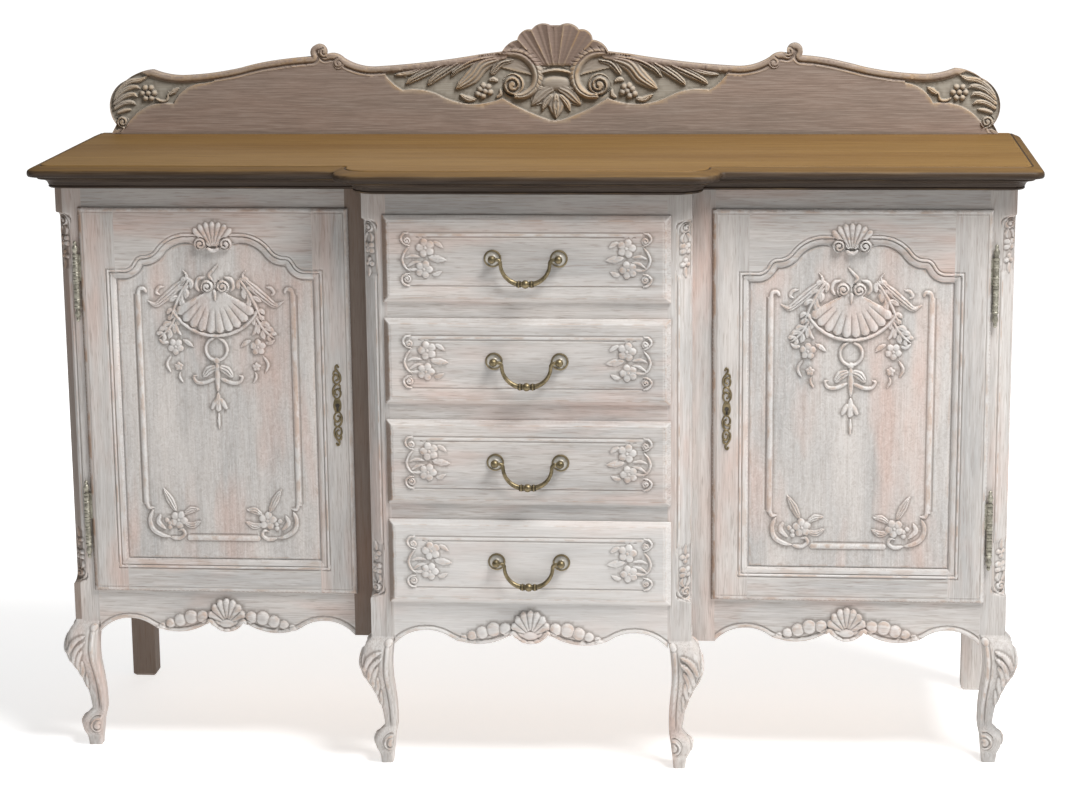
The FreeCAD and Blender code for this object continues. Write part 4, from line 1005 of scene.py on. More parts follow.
# doors: drawn once in u (from the middle, toward the lock) and z, then turned to either hand
doorLow, doorHigh = span("door_stiles_right")
door = {
    "middle": (doorLow[0] + doorHigh[0]) / 2,
    "half": (doorHigh[0] - doorLow[0]) / 2,
    "open": (doorHigh[0] - doorLow[0]) / 2 - 63.5,
    "railTop": doorLow[2] + 60,
    "ledge": doorHigh[2] - 125,
    "step": doorHigh[2] - 103,
    "arch": doorHigh[2] - 61,
    "over": (8.5, 11.0),  # how far the moulding stands over the panel, sideways and upward
    "seat": wingFront - lipGap,
    "rebate": 7.5,
    "gap": 1.3,
    "mouldWidth": 10.5,
    "mouldDepth": 6.5,
    "quirks": ((0.8, -2.2, 0.9), (3.6, 0.7, 1.5), (6.4, -1.6, 0.9)),  # beyond the moulding: place, height, width
    "bevelWidth": 8.0,
    "bevelDepth": 4.2,
    "panelFront": wingFront + 0.6,
    "panelBack": wingFront + 12.0,
    "panelEdge": 1.6,
    "tuck": 5.0,  # how far the panel reaches under the moulding
    # spray of leaves beside the shell: knots, widths, height, ribs
    "sprays": [([(-56, 881), (-50, 868), (-69, 848), (-91, 829), (-106, 819), (-121, 826)],
                (3, 8, 15, 15, 11, 5), 4.0, 3),
               ([(-45, 855), (-57, 840), (-58, 826), (-50, 816)], (4, 8, 7, 3), 3.6, 2),
               ([(-72, 790), (-70, 775), (-62, 764)], (4, 8, 3), 2.8, 1),
               ([(-90, 851), (-99, 849), (-104, 841), (-98, 836)], (3, 6, 6, 3), 2.8, 1),
               ([(-60, 756), (-52, 752), (-42, 744)], (5, 9, 3), 3.0, 2),
               ([(-86, 752), (-95, 752), (-103, 758)], (5, 8, 3), 2.8, 1),
               ([(-82, 728), (-90, 713), (-83, 697)], (4, 6, 3), 2.8, 1),
               ([(-67, 699), (-68, 690), (-62, 679)], (3, 5, 2), 2.6, 1)],
    "foliage": [([(-43, 866), (-58, 844), (-71, 818), (-83, 788)], 25, 4.4),
                ([(-70, 800), (-80, 782), (-90, 770), (-103, 759)], 24, 3.8)],
    "corners": [([(-137, 466), (-133, 452), (-124, 452)], (8, 7, 4), 3.2, 1),
                ([(-126, 448), (-132, 430), (-127, 412), (-112, 402), (-96, 398)], (6, 8, 9, 8, 5), 3.8, 2),
                ([(-96, 398), (-80, 396), (-70, 404), (-74, 412), (-82, 410)], (7, 7, 6, 4), 3.4, 1),
                ([(-112, 440), (-117, 426), (-104, 412)], (5, 10, 4), 3.0, 2),
                ([(-84, 446), (-94, 466), (-106, 488)], (8, 14, 4), 3.6, 3),
                ([(-70, 440), (-58, 448), (-42, 450)], (7, 12, 4), 3.4, 3),
                ([(-70, 424), (-56, 420), (-40, 428)], (7, 12, 4), 3.4, 3)],
    "archHalf": 46,  # half width, depth and middle of the shell's field over the arch
    "archSink": 4.5,
    "archDrop": 74,
    "archTie": [([(-11, 920), (0, 914.5), (11, 920)], (5, 8, 5), 5.5, 1)],
    # shells, as inner and outer radius, angles, ribs and height
    "archShell": (8, 51, 42, 138, 7, 6.5),
    "panelShell": (8, 82, 208, 332, 10, 5.6),
    "shellMiddle": (-1, 850),
    "shellRim": 86,
    "sideBead": [(-137, 458), (-137, 838)],
    "sideLine": [(-144.2, 462), (-144.2, 836)],
    "sideTurn": [(-137, 836), (-134, 846), (-126, 847), (-122, 840)],
    "footBead": [(-66, 397), (0, 397), (66, 397)],
    "footLine": [(-60, 404), (0, 404), (60, 404)],
    "archEyes": [((22, 927), 11.5, 6.0, 1.5, 90, 1)],
    "panelEyes": [((-13.5, 851), 12, 5.6, 1.6, 120, 1)],
    "flowers": [((-73, 744), 14, 4.2, (-20, 20)), ((-69, 709), 7.5, 3.2, (20, 20)),
                ((-80, 430), 16, 4.4, (-10, 10))],  # middle, radius, height and turn on either side
    "curls": [([(-27, 842), (-33, 852), (-29, 864), (-17, 868)], (4, 7, 7, 4), 3.6, 1)],
    # under the shell: leaves on both sides of the pendant, and the pendant
    "bracts": [([(2, 708), (16, 702), (26, 690)], (10, 16, 8), 3.8, 3),
               ([(4, 688), (24, 680), (38, 681), (43, 690), (37, 693)], (6, 7, 6, 4), 3.0, 1),
               ([(2, 652), (8, 642), (14, 632)], (7, 10, 5), 3.4, 1)],
    "pendant": [([(-1, 846), (0, 836), (0, 826)], (8, 7, 3), 5.2, 1),
                ([(-3, 862), (-10, 871), (-3, 880), (7, 891)], (3, 6, 5, 2), 2.8, 1),
                ([(-1, 716), (-1, 690), (-1, 664)], (8, 11, 5), 3.8, 1),
                ([(-1, 662), (-1, 648), (-1, 628)], (5, 13, 10), 4.0, 2),
                ([(-1, 626), (-1, 612), (-1, 596)], (3, 6, 2), 3.0, 1)],
    # lower edge of the shell over the arch, from the right volute to the middle
    "hanging": [(33.5, 926), (30.1, 918.9, 22, 915.5), (13, 919), (7, 913.5, 0, 912)],
}


def archHead(lift=0.0, half=None):  # right half of the arched head, from the side to the middle
    wide, ledge, step, arch = half or door["open"], door["ledge"] + lift, door["step"] + lift, door["arch"] + lift
    full, rise = door["open"], arch - step
    return runPath([(wide, ledge), (full * 0.9, ledge),
                    (full * 0.805, ledge + (step - ledge) * 0.27, full * 0.735, step - 2), (full * 0.72, step + 2),
                    (full * 0.595, step + rise * 0.17, full * 0.51, step + rise * 0.476),
                    (full * 0.425, step + rise * 0.81, full * 0.263, arch)], 4.0)


def openingPath(lift=0.0, half=None, foot=None):
    wide = half or door["open"]
    base = np.array([[wide, foot or door["railTop"]]])
    return mirrorPath(np.vstack([base, archHead(lift, wide)]))


def frameShape(points, side):
    opening = openingPath()
    gap = lineGap(points, np.vstack([opening, opening[:1]]))
    u, z = points.T
    beside = np.abs(u) - door["open"]
    corner = (beside > 0) & ((z > door["ledge"]) | (z < door["railTop"]))  # mitred where the mouldings meet
    gap[corner] = np.maximum(beside, np.maximum(z - door["ledge"], door["railTop"] - z))[corner]
    rim = np.minimum(door["half"] - np.abs(u), np.minimum(z - doorLow[2], doorHigh[2] - z))
    wide, depth = door["mouldWidth"], door["mouldDepth"]
    share = np.clip(gap / wide, 0, 1)
    height = (depth - 1) * np.sqrt(1 - (1 - share) ** 2) - depth + smoothStep(gap, wide, wide + 1.5)
    for place, rise, wave in door["quirks"]:
        height += rise * hump(gap, wide + place, wave)
    edge = np.clip(1 - rim / door["bevelWidth"], 0, 1)
    height -= door["bevelDepth"] * (1 - np.sqrt(1 - edge ** 2))
    height -= 0.9 * hump(rim, door["bevelWidth"], 1.1)
    field = (np.abs(u) < door["archHalf"]) & (z < door["arch"]) & (z > door["step"])
    height = np.where(field, -door["archSink"], height)
    carve = Carving(points, height)
    if (z > door["arch"] - 20).any():
        carve.ground[:] = -2.5
        carve.shell((0, doorHigh[2] - door["archDrop"]), *door["archShell"], lobe=0.10)
        carve.strokes(door["archTie"])
        for way in (-1, 1):
            carve.volutes(door["archEyes"], placing(way=way), way)
    footShadow = 0.8 * (z - doorLow[2] < 1.6)
    return carve.height, np.maximum(footShadow, 1 - smoothStep(door["half"] - side * u, 5.5, 8.5))  # left edge painted brown, which is painted shade with brown stain; the foot line is painted shadow


def panelShape(points):
    opening = openingPath()
    gap = lineGap(points, np.vstack([opening, opening[:1]]))
    inside = inOutline(points, opening)
    ground = door["panelEdge"] * np.where(inside, smoothStep(gap, 0.3, 4.2), 0.0)
    carve = Carving(points, ground)
    for way in (-1, 1):
        spot = placing(way=-way)
        carve.stroke(spot(door["sideBead"]), 10.5, 2.9, (0.0, 0.0), soft=False)
        carve.groove(spot(door["sideLine"]), 3, 1.0, soft=False)
        carve.stroke(spot(door["sideTurn"]), (8, 7, 5), 3.4, (0.02, 0.1))
        carve.strokes(door["sprays"] + door["corners"], spot, (0.14, 0.18))
        for knots, width, height in door["foliage"]:
            carve.leaf(spot(knots), width, height, 4)
        carve.volutes(door["panelEyes"], spot, way)
        carve.strokes(door["curls"], spot)
        for center, radius, height, turns in door["flowers"]:
            carve.flower(*spot([center]), radius, height, turn=turns[way > 0])
        carve.berries(*spot([(-96, 424)]), 4.2, [(0, 0), (way * 1.4, 1.2), (0, -1.8)], 3.2)
    rim = arcPath(door["shellMiddle"], (door["shellRim"], door["shellRim"]), *door["panelShell"][2:4])
    carve.stroke(rim, 6, 4.4, (0.03, 0.03), soft=False)
    carve.shell(door["shellMiddle"], *door["panelShell"], lobe=0.08, smooth=0.5)
    carve.strokes(door["pendant"])
    carve.stroke(arcPath((-1, 740), (19, 20), 100, 440), 5.5, 3.6, (0.02, 0.06), soft=False)  # ring under the shell
    carve.dome((-1, 719), 5.5, 3.6)
    for way in (-1, 1):
        carve.strokes(door["bracts"], placing(way=way))
    carve.stroke(door["footBead"], 10, 2.9, (0.02, 0.02))
    carve.groove(door["footLine"], 3, 0.9)
    return carve.height, 0.0


def makeDoor(hand, side):
    def turned(shape, *more):
        return lambda points: shape(np.column_stack([door["middle"] - side * points[:, 0], points[:, 1]]), *more)

    def outlined(path):
        return np.column_stack([side * (door["middle"] - path[:, 0]), path[:, 1]])

    def plank(low, high):
        corners = [(low[0], low[1]), (high[0], low[1]), (high[0], high[1]), (low[0], high[1])]
        return outlined(runPath(corners + corners[:1], 2.0)[:-1])

    def block(build, low, high):
        ends = sorted((side * (door["middle"] - low[0]), side * (door["middle"] - high[0])))
        addBox(build, (ends[0], door["seat"], low[1]), (ends[1], doorHigh[1], high[1]), 0.6)

    front, seat, rebate = doorLow[1], door["seat"], door["rebate"]
    wide, half, foot, head = door["open"], door["half"], doorLow[2], doorHigh[2]
    overSide, overRise = door["over"]
    reach = wide + overSide
    stiles, rails, panel = Build(), Build(), Build()

    def moulded(build, outline):
        addPlate(build, outline, door["gap"], turned(frameShape, side), front, seat, rub=0.0)

    for way in (-1, 1):
        ends = sorted((way * wide, way * half))
        moulded(stiles, plank((ends[0], foot), (ends[1], head)))
        ends = sorted((way * reach, way * (half - rebate)))
        block(stiles, (ends[0], foot + rebate), (ends[1], head - rebate))
    moulded(rails, plank((-wide, foot), (wide, door["railTop"])))
    block(rails, (-reach, foot + rebate), (reach, door["railTop"] - overRise))
    plain = archHead()
    arch = np.vstack([plain, runPath([plain[-1]] + door["hanging"], 2.0)[1:]])
    carved = np.vstack([arch[:-1], mirrorPath(arch)[len(arch):]])
    edge = runPath([(-wide, door["ledge"] + 2), (-wide, head), (wide, head), (wide, door["ledge"] + 2)], 2.0)
    moulded(rails, outlined(np.vstack([carved, edge])))
    low, top = door["ledge"] + overRise + 4, head - rebate
    edge = runPath([(-reach, low), (-reach, top), (reach, top), (reach, low)], 6)
    addPlate(rails, outlined(np.vstack([mirrorPath(archHead(overRise, reach)), edge])), door["gap"],
             lambda points: (np.zeros(len(points)), 0.0), seat, doorHigh[1])
    tuck = door["tuck"]
    path = openingPath(overRise + tuck, reach + tuck, door["railTop"] - overRise - tuck)
    first, last, across = (runPath(path[pick], 3) for pick in ([0, 1], [-2, -1], [-1, 0]))
    path = np.vstack([first[:-1], path[1:-2], last, across[1:-1]])
    addPlate(panel, outlined(path), door["gap"], turned(panelShape), door["panelFront"], door["panelBack"])
    body = "door_" + hand
    stiles.piece("doorStiles" + hand.title(), oakZ, body, "limed_oak", ["door_stiles_" + hand])
    rails.piece("doorRails" + hand.title(), oakX, body, "limed_oak", ["door_rails_" + hand])
    panel.piece("doorPanel" + hand.title(), oakPanel, body, "limed_oak", ["door_panel_" + hand])


for hand, side in sides:
    makeDoor(hand, side)
print("stage: doors")


# drawers
drawer = {
    "bevelWidth": 10.0,
    "bevelDepth": 6.2,
    "rebate": (7.5, 6.3, 7.5),  # at the sides, under and over the block behind the lip
    "gap": 1.3,
    "lines": ((46, 198), (38, 186), (-46, 198)),  # incised: level and reach from the middle of the front
    # right end of the carving: knots from the middle of the front, widths, height, ribs
    "leaves": [([(166, 4), (152, 1), (135, -1)], (8, 14, 4), 2.2, 2),
               ([(158, 30), (150, 27), (141, 20)], (5, 9, 3), 2.0, 2),
               ([(160, -26), (152, -25), (143, -20)], (5, 9, 3), 2.0, 2),
               ([(180, -4), (192, -6), (204, -14)], (3, 6, 2), 1.8, 1),
               ([(180, 4), (194, 6), (206, 2)], (3, 6, 2), 1.8, 1),
               ([(182, -16), (194, -18), (201, -16)], (4, 6, 2), 1.8, 1),
               ([(199, 22), (207, 12), (211, 0), (207, -12), (197, -21)], (2.5, 4, 4.5, 4, 2.5), 2.4, 1),
               ([(198, 23), (208, 28), (213, 36), (208, 44), (199, 45)], (3, 3.5, 4, 4, 3), 2.4, 1),
               ([(198, -24), (208, -27), (213, -34), (208, -43), (198, -46)], (3, 3.5, 4, 4, 3), 2.4, 1)],
    "eyes": [((203, 32), 6.5, 2.6, 1.2, 90, -1), ((203, -34), 6.5, 2.6, 1.2, 270, 1)],
    "flowers": [((171, 20), 16, 3.6, -15), ((174, -17), 15, 3.4, 20)],  # middle, radius, height, lean
}


def drawerShape(foot, head):
    half, middle = span("drawer_front_1")[1][0], (foot + head) / 2

    def shape(points):
        x, dz = points[:, 0], points[:, 1] - middle
        rim = np.minimum(half - np.abs(x), (head - foot) / 2 - np.abs(dz))
        slope = np.clip(1 - rim / drawer["bevelWidth"], 0, 1)
        ground = -drawer["bevelDepth"] * slope
        ground -= 0.9 * hump(rim, drawer["bevelWidth"] + 0.6, 1.1)
        carve = Carving(np.column_stack([x, dz]), ground)
        for level, reach in drawer["lines"]:
            carve.groove([(-reach, level), (reach, level)], 2.6, 0.9, soft=False)
        carve.height += 0.6 * hump(dz, 42, 2.2) * (np.abs(x) < drawer["lines"][0][1])
        carve.ground = carve.height.copy()
        for way in (-1, 1):
            spot = placing(way=way)
            carve.strokes(drawer["leaves"], spot, (0.14, 0.18))
            carve.volutes(drawer["eyes"], spot, way)
            for center, radius, height, lean in drawer["flowers"]:
                carve.flower(*spot([center]), radius, height, turn=90 + way * lean)
        left = (x < 0) & (half - np.abs(x) < rim + 0.01)  # the left bevel is painted darker brown, which is painted shade with brown stain
        return carve.height, np.where(left, smoothStep(slope, 0.0, 0.2), 0.0)

    return shape


def makeDrawer(k):
    node, seat = "drawer_front_%d" % k, middleFront - lipGap
    low, high = span(node)
    build = Build()
    outline = runPath([(low[0], low[2]), (high[0], low[2]), (high[0], high[2]), (low[0], high[2]),
                       (low[0], low[2] + 4)], 3)
    addPlate(build, outline, drawer["gap"], drawerShape(low[2], high[2]), low[1], seat)
    inset, under, over = drawer["rebate"]
    addBox(build, (low[0] + inset, seat, low[2] + under), (high[0] - inset, high[1], high[2] - over), 0.6)
    build.piece("drawerFront%d" % k, oakPale if k == 4 else oakX, "drawer_%d" % k, "limed_oak", [node])


for k in range(1, 5):
    makeDrawer(k)
print("stage: drawers")


# aprons
apron = {
    "drops": {"end": 85.0, "arch": 59.0, "turn": 72.0, "lobe": 83.0, "cusp": 63.0, "shell": 82.0},
    "thickness": 22.0,
    "beadWidth": 7.0,
    # overlapping husks beside the shell: place, level, radius, height
    "husks": [(44, -54, 11, 6.4), (65, -55, 12.5, 5.6), (85, -61, 11, 5.0), (103, -67, 8.5, 4.2), (118, -72, 6, 3.4)],
    "tail": [([(118, -74), (130, -77), (144, -80)], (7, 7, 3), 3.0, 1)],
    # shell above the cusp and the smaller one below it: radii, angles, ribs and height
    "shells": ((10, 47, -8, 188, 9, 7.5), (4, 22, 190, 350, 5, 5.0)),
    "gap": 1.4,
    "edgeGap": 2.2,
}


def apronEdge(half):  # the scalloped edge from right to left, below the top of the apron
    drop, gap = apron["drops"], apron["edgeGap"]
    path = runPath([(half, -drop["end"]), (half * 0.79, -drop["arch"], half * 0.585, -drop["turn"]),
                    (half * 0.40, -drop["lobe"], half * 0.13, -drop["cusp"])], gap)
    middle = runPath([(half * 0.13, -drop["cusp"]), (0, -drop["shell"], -half * 0.13, -drop["cusp"])], gap)
    return np.vstack([path, middle[1:-1], path[::-1] * (-1, 1)])


def apronShape(points, half):
    gap, bead = lineGap(points, apronEdge(half)), apron["beadWidth"] / 2
    carve = Carving(points)
    near = gap < 2 * bead
    carve.height[near] += 2.2 * np.sqrt(np.clip(1 - ((gap[near] - bead) / bead) ** 2, 0, 1)) - 0.6
    carve.height -= 1.4 * hump(gap, 8.6, 1.3)
    carve.ground = carve.height.copy()
    for way in (-1, 1):
        for place, level, radius, rise in apron["husks"]:
            carve.dome((way * place, level), radius, rise, flat=3)
            carve.stroke([(way * (place - 4), level + radius - 3), (way * (place + radius * 0.6), level),
                          (way * (place - 4), level - radius + 3)], (2, radius * 0.28, 2), rise * 0.9)
        carve.strokes(apron["tail"], placing(way=way))
    above, below = apron["shells"]
    carve.shell((0, -66), *above, lobe=0.10, squeeze=0.78)
    carve.shell((0, -60), *below, lobe=0.05, squeeze=1.25)
    carve.dome((0, -66), 9, 5.6, 1.9)
    return carve.height, 0.0


def makeApron(name, node):
    low, high = span(node)
    middle, half, top, back = (low[0] + high[0]) / 2, (high[0] - low[0]) / 2, high[2], high[1]
    edge = apronEdge(half)
    end = 3 - apron["drops"]["end"]
    outline = np.vstack([edge, runPath([(-half, end), (-half, 0), (half, 0), (half, end)], 4)])
    build = Build()
    addPlate(build, outline + (middle, top), apron["gap"],
             lambda points: apronShape(points - (middle, top), half), back - apron["thickness"], back)
    build.piece(name, oakPale if node == "apron_center" else oakX, "carcass", "limed_oak", [node])


for place in ("left", "right", "center"):
    makeApron("apron" + place.title(), "apron_" + place)
print("stage: aprons")


# posts: a square upright with a stopped moulding on its outer corner, over a carved cabriole leg
post = {
    "outer": (45, 45),  # width and depth of the uprights
    "inner": (41, 45),
    "legHeight": 242.0,
    "swell": 18.5,
    "ankle": 16.0,
    "footInset": 10.5,
    "cornerRun": 31.0,
    "cant": 28.0,
    "bulge": 5.5,
    "stops": (309.0, 982.0),
    "carvedEnds": 104.0,
    # share of the leg's height, swell outward, heel
    "knee": ((1, 0, 1), (0.985, 0.02, 0.998), (0.965, 0.20, 0.97), (0.94, 0.48, 0.935), (0.89, 0.80, 0.88),
             (0.79, 0.97, 0.83), (0.69, 0.62, 0.83), (0.615, 0.14, 0.86), (0.53, -0.28, 0.91), (0.43, -0.65, 0.955)),
    "foot": ((0.325, 0, 0.97), (0.275, 0.02, 0.96), (0.238, -0.50, 0.925), (0.204, -0.86, 0.885),
             (0.174, -0.95, 0.865), (0.118, -0.80, 0.835), (0.066, -0.48, 0.80), (0, -0.31, 0.77)),
    # strokes on the knee and down the leg, in distance from the outer corner and height
    "strokes": [([(0, 220), (0, 186), (0, 146), (0, 104)], (7, 9, 8, 3), 3.6, 1),
                ([(34, 214), (18, 204), (4, 178)], (5, 12, 5), 5.0, 1),
                ([(36, 203), (20, 188), (3, 158)], (5, 12, 5), 5.0, 1),
                ([(31, 188), (17, 171), (2, 143)], (4, 11, 5), 4.4, 1),
                ([(22, 166), (12, 150), (2, 128)], (4, 9, 4), 3.6, 1),
                ([(14, 140), (8, 126), (2, 106)], (3, 6, 3), 2.6, 1)],
    "roll": ((31.0, 39.0), 17.0, 4.6, 1.9, 80, 1),  # scroll on the foot: middle, radius, height, turns, start, way
    "ribSpan": (62, 80, 216, 228),  # heights between which the rib along the inner edge rises and fades
    "rib": ((7.5, 2.8, 1.9), (12.6, 1.5, -2.0)),  # rib and groove beside it: place, width, height
    "knob": ((7.5, 229), 6.5, 3.6),  # over the rib: place, radius, height
    "far": 200.0,  # stands for a point without carving
    # strokes at either end of the canted corner, across it and from the stop
    "stem": [([(-11.5, 100), (-11.5, 34), (-10, 15), (-2, 5), (7, 6), (11, 15)], (2, 3, 3.4, 3.6, 3.6, 2.6), 2.6, 1)],
    "buds": [([(0, 84), (0, 92), (0, 102)], (4, 7, 2), 3.0, 1), ([(-2, 25), (-6, 33), (-4, 42)], (3, 5, 3), 3.0, 1),
             ([(2, 26), (8, 34), (7, 43)], (4, 8, 3), 3.2, 2)],
}


def cantRelief(points):  # carving on the canted corner, across it and upward
    foot, head = post["stops"]
    across, z = np.abs(points[:, 0]), points[:, 1]
    ends, carved = np.minimum(z - foot, head - z), post["carvedEnds"]
    carve = Carving(points * (0.72, 1))
    half = post["cant"] * math.sqrt(0.5)
    sink = smoothStep(ends, 3, 8) * (1 - smoothStep(ends, carved - 10, carved))
    carve.height -= 1.8 * sink * smoothStep(-across, -half + 1, -half + 4)
    carve.height -= 1.5 * hump(across, half - 3.6, 1.0) * smoothStep(ends, 4, 12)
    carve.height += 0.8 * hump(across, half - 6.6, 1.3) * smoothStep(ends, carved, carved + 10)
    carve.ground = carve.height.copy()
    for end, way in ((foot, 1), (head, -1)):
        spot = placing(up=end, rise=way)
        carve.strokes(post["stem"], spot)
        carve.volute(*spot([(0.5, 17)]), 9, 4.2, 1.4, 90 * way, 1)
        carve.flower(*spot([(0.5, 52)]), 11, 4.2, 4, 45)
        carve.flower(*spot([(0.5, 77)]), 9, 3.6, 3, -90 * way)
        carve.strokes(post["buds"], spot)
    return carve.height


def uprightRings(low, high, heights):  # plans of the upright; low and high are its inner and outer corners
    foot, head = post["stops"]
    run, cant, slant = post["cornerRun"], post["cant"], math.sqrt(0.5)
    turns = np.linspace(-1, 1, 41)
    edge = cant / run
    across = turns / edge * cant * slant
    grid = np.column_stack([np.tile(across, len(heights)), np.repeat(heights, len(turns))])
    relief = cantRelief(grid).reshape(len(heights), len(turns))
    marks = np.pad(ridges(relief, 5, 0.5), ((0, 0), (2, 3)))
    rings = []
    for z, row in zip(heights, relief):
        ring = [(low[0], low[1]), ((low[0] + high[0] - run) / 2, low[1])]
        for t, s, rise in zip(turns, across, row):
            square = np.array([run * max(-t, 0), run * max(t, 0)])
            swell = post["bulge"] * max(0, 1 - (t / edge) ** 2)
            flat = np.array([cant / 2 - s * slant, cant / 2 + s * slant]) - (rise + swell) * slant
            bent = flat if abs(t) < edge else square
            stop = min(z - foot, head - z) - 11 * min(1, abs(t / edge)) ** 3
            canted = smoothStep(stop, 0, 5)
            away, back = square * (1 - canted) + bent * canted
            ring.append((high[0] - away, low[1] + back))
        ring += [(high[0], (low[1] + run + high[1]) / 2), (high[0], high[1]), (low[0], high[1])]
        rings.append(atHeight(ring, z))
    return rings, marks


def legRing(outer, front, width, depth, z, out, heel):
    # plan of the leg at a height, its outward way, and its distance from the outer corner and the inner edge
    xFar, xNear, yFar, yNear = outer + out, outer - width * heel, front - out, front + depth * heel
    bend = 2 + (0.22 * (xFar - xNear) - 2) * smoothStep(-z, -post["legHeight"], -post["legHeight"] + 14)
    ring, ways = [], []

    def corner(x, y, start):
        for angle in np.radians(np.linspace(start, start + 90, 9)):
            way = (math.cos(angle), math.sin(angle))
            ring.append((x + bend * way[0], y + bend * way[1]))
            ways.append(way)

    def face(a, b, count, way):
        for share in np.linspace(0, 1, count + 2)[1:-1]:
            ring.append((a[0] + (b[0] - a[0]) * share, a[1] + (b[1] - a[1]) * share))
            ways.append(way)

    corner(xNear + bend, yFar + bend, 180)
    face((xNear + bend, yFar), (xFar - bend, yFar), 18, (0, -1))
    corner(xFar - bend, yFar + bend, 270)
    face((xFar, yFar + bend), (xFar, yNear - bend), 18, (1, 0))
    corner(xFar - bend, yNear - bend, 0)
    face((xFar - bend, yNear), (xNear + bend, yNear), 8, (0, 1))
    corner(xNear + bend, yNear - bend, 90)
    face((xNear, yNear - bend), (xNear, yFar + bend), 8, (-1, 0))
    ring, ways = np.array(ring), np.array(ways)
    away = np.maximum(xFar - ring[:, 0], ring[:, 1] - yFar)
    onFront = ring[:, 1] - yFar < bend + 0.01
    onSide = xFar - ring[:, 0] < bend + 0.01
    inner = np.where(onFront, xFar - xNear, yNear - yFar) - away
    carved = onFront | onSide
    return ring, ways, np.where(carved, away, post["far"]), np.where(carved, inner, post["far"])


def addLeg(build, outer, front, width, depth, flip):
    high, swell, ankle = post["legHeight"], post["swell"], post["ankle"]
    knots = [(high * share, swell * out, heel) for share, out, heel in post["knee"]]
    knots += [(high * share, -ankle * (1 + out), heel) for share, out, heel in post["foot"][:-1]]
    knots.append((0, -post["footInset"], post["foot"][-1][2]))
    levels = softPath(knots, 9)
    rings = [legRing(outer, front, width, depth, *level) for level in levels]
    size = len(rings[0][0])
    plan, ways, away, inner = (np.concatenate(values) for values in zip(*rings))
    heights = np.repeat(levels[:, 0], size)
    carve = Carving(np.column_stack([away, heights]))
    carve.strokes(post["strokes"])
    fade = smoothStep(heights, *post["ribSpan"][:2]) * (1 - smoothStep(heights, *post["ribSpan"][2:]))
    carve.height += fade * sum(rise * hump(inner, place, wide) for place, wide, rise in post["rib"])
    knob = Carving(np.column_stack([inner, heights]))
    knob.dome(*post["knob"])
    carve.height += knob.height
    fixed = np.where(away < post["far"], np.maximum(outer - plan[:, 0], plan[:, 1] - front), 2 * post["far"])
    scroll = Carving(np.column_stack([fixed, heights]))
    scroll.volute(*post["roll"])
    carve.height += scroll.height * smoothStep(inner, 1, 8)
    moved = plan + ways * carve.height[:, None]
    points = np.column_stack([moved[:, 0] * flip, moved[:, 1], heights])
    shaped = [points[k * size:(k + 1) * size] for k in range(len(levels))]
    wear = ridges(carve.height.reshape(len(levels), size), 5, 0.6)
    if flip > 0:  # the mirrored leg already faces outward
        shaped, wear = shaped[::-1], wear[::-1]
    addLoft(build, shaped, wear=wear.ravel())


def makePost(node, name, outer, front, width, depth, flip):
    build = Build()
    top = span("stile_right")[1][2]
    foot, head = post["stops"]
    carved = post["carvedEnds"]
    heights = np.unique(np.concatenate([
        [post["legHeight"] - 1, top], np.arange(foot - 2, foot + carved + 12, 1.6),
        np.linspace(foot + carved + 14, head - carved - 14, 8), np.arange(head - carved - 12, head + 3, 1.6)]))
    rings, wear = uprightRings((outer - width, front), (outer, front + depth), heights)
    if flip < 0:
        rings, wear = [ring[::-1] * (-1, 1, 1) for ring in rings], wear[:, ::-1]
    stain = np.zeros_like(wear)
    if node == "post_outer_left":  # its outward side is painted brown, which is painted shade with brown stain
        stain[:, 3:31] = 0.85
    addLoft(build, rings, wear=wear.ravel(), sunk=stain.ravel())
    addLeg(build, outer, front, width, depth, flip)
    build.piece(name, oakZ, "carcass", "limed_oak", [node])


for hand, side in sides:
    makePost("post_outer_" + hand, "postOuter" + hand.title(), bodyHalf, wingFront, *post["outer"], side)
    makePost("post_inner_" + hand, "postInner" + hand.title(), stepX, middleFront, *post["inner"], side)
print("stage: posts and legs")


# rods swept along paths by Geometry Nodes
def rodTree():
    tree = bpy.data.node_groups.new("sweptRod", "GeometryNodeTree")
    for label, way, kind in (("Path", "INPUT", "Geometry"), ("Sides", "INPUT", "Int"),
                             ("Finish", "INPUT", "Material"), ("Solid", "OUTPUT", "Geometry")):
        tree.interface.new_socket(label, in_out=way, socket_type="NodeSocket" + kind)
    kinds = {"start": "NodeGroupInput", "curve": "GeometryNodeMeshToCurve",
             "ring": "GeometryNodeCurvePrimitiveCircle", "girth": "GeometryNodeInputNamedAttribute",
             "sweep": "GeometryNodeCurveToMesh", "real": "GeometryNodeRealizeInstances",
             "coat": "GeometryNodeSetMaterial", "end": "NodeGroupOutput"}
    nodes = {name: tree.nodes.new(kind) for name, kind in kinds.items()}
    nodes["ring"].inputs["Radius"].default_value = 1.0
    nodes["girth"].inputs["Name"].default_value = "girth"
    nodes["sweep"].inputs["Fill Caps"].default_value = True
    for start, out, end, into in (("start", "Path", "curve", "Mesh"), ("start", "Sides", "ring", "Resolution"),
                                  ("curve", "Curve", "sweep", "Curve"), ("ring", "Curve", "sweep", "Profile Curve"),
                                  ("girth", "Attribute", "sweep", "Scale"), ("sweep", "Mesh", "real", "Geometry"),
                                  ("real", "Geometry", "coat", "Geometry"), ("start", "Finish", "coat", "Material"),
                                  ("coat", "Geometry", "end", "Solid")):
        tree.links.new(nodes[start].outputs[out], nodes[end].inputs[into])
    return tree


rod = rodTree()


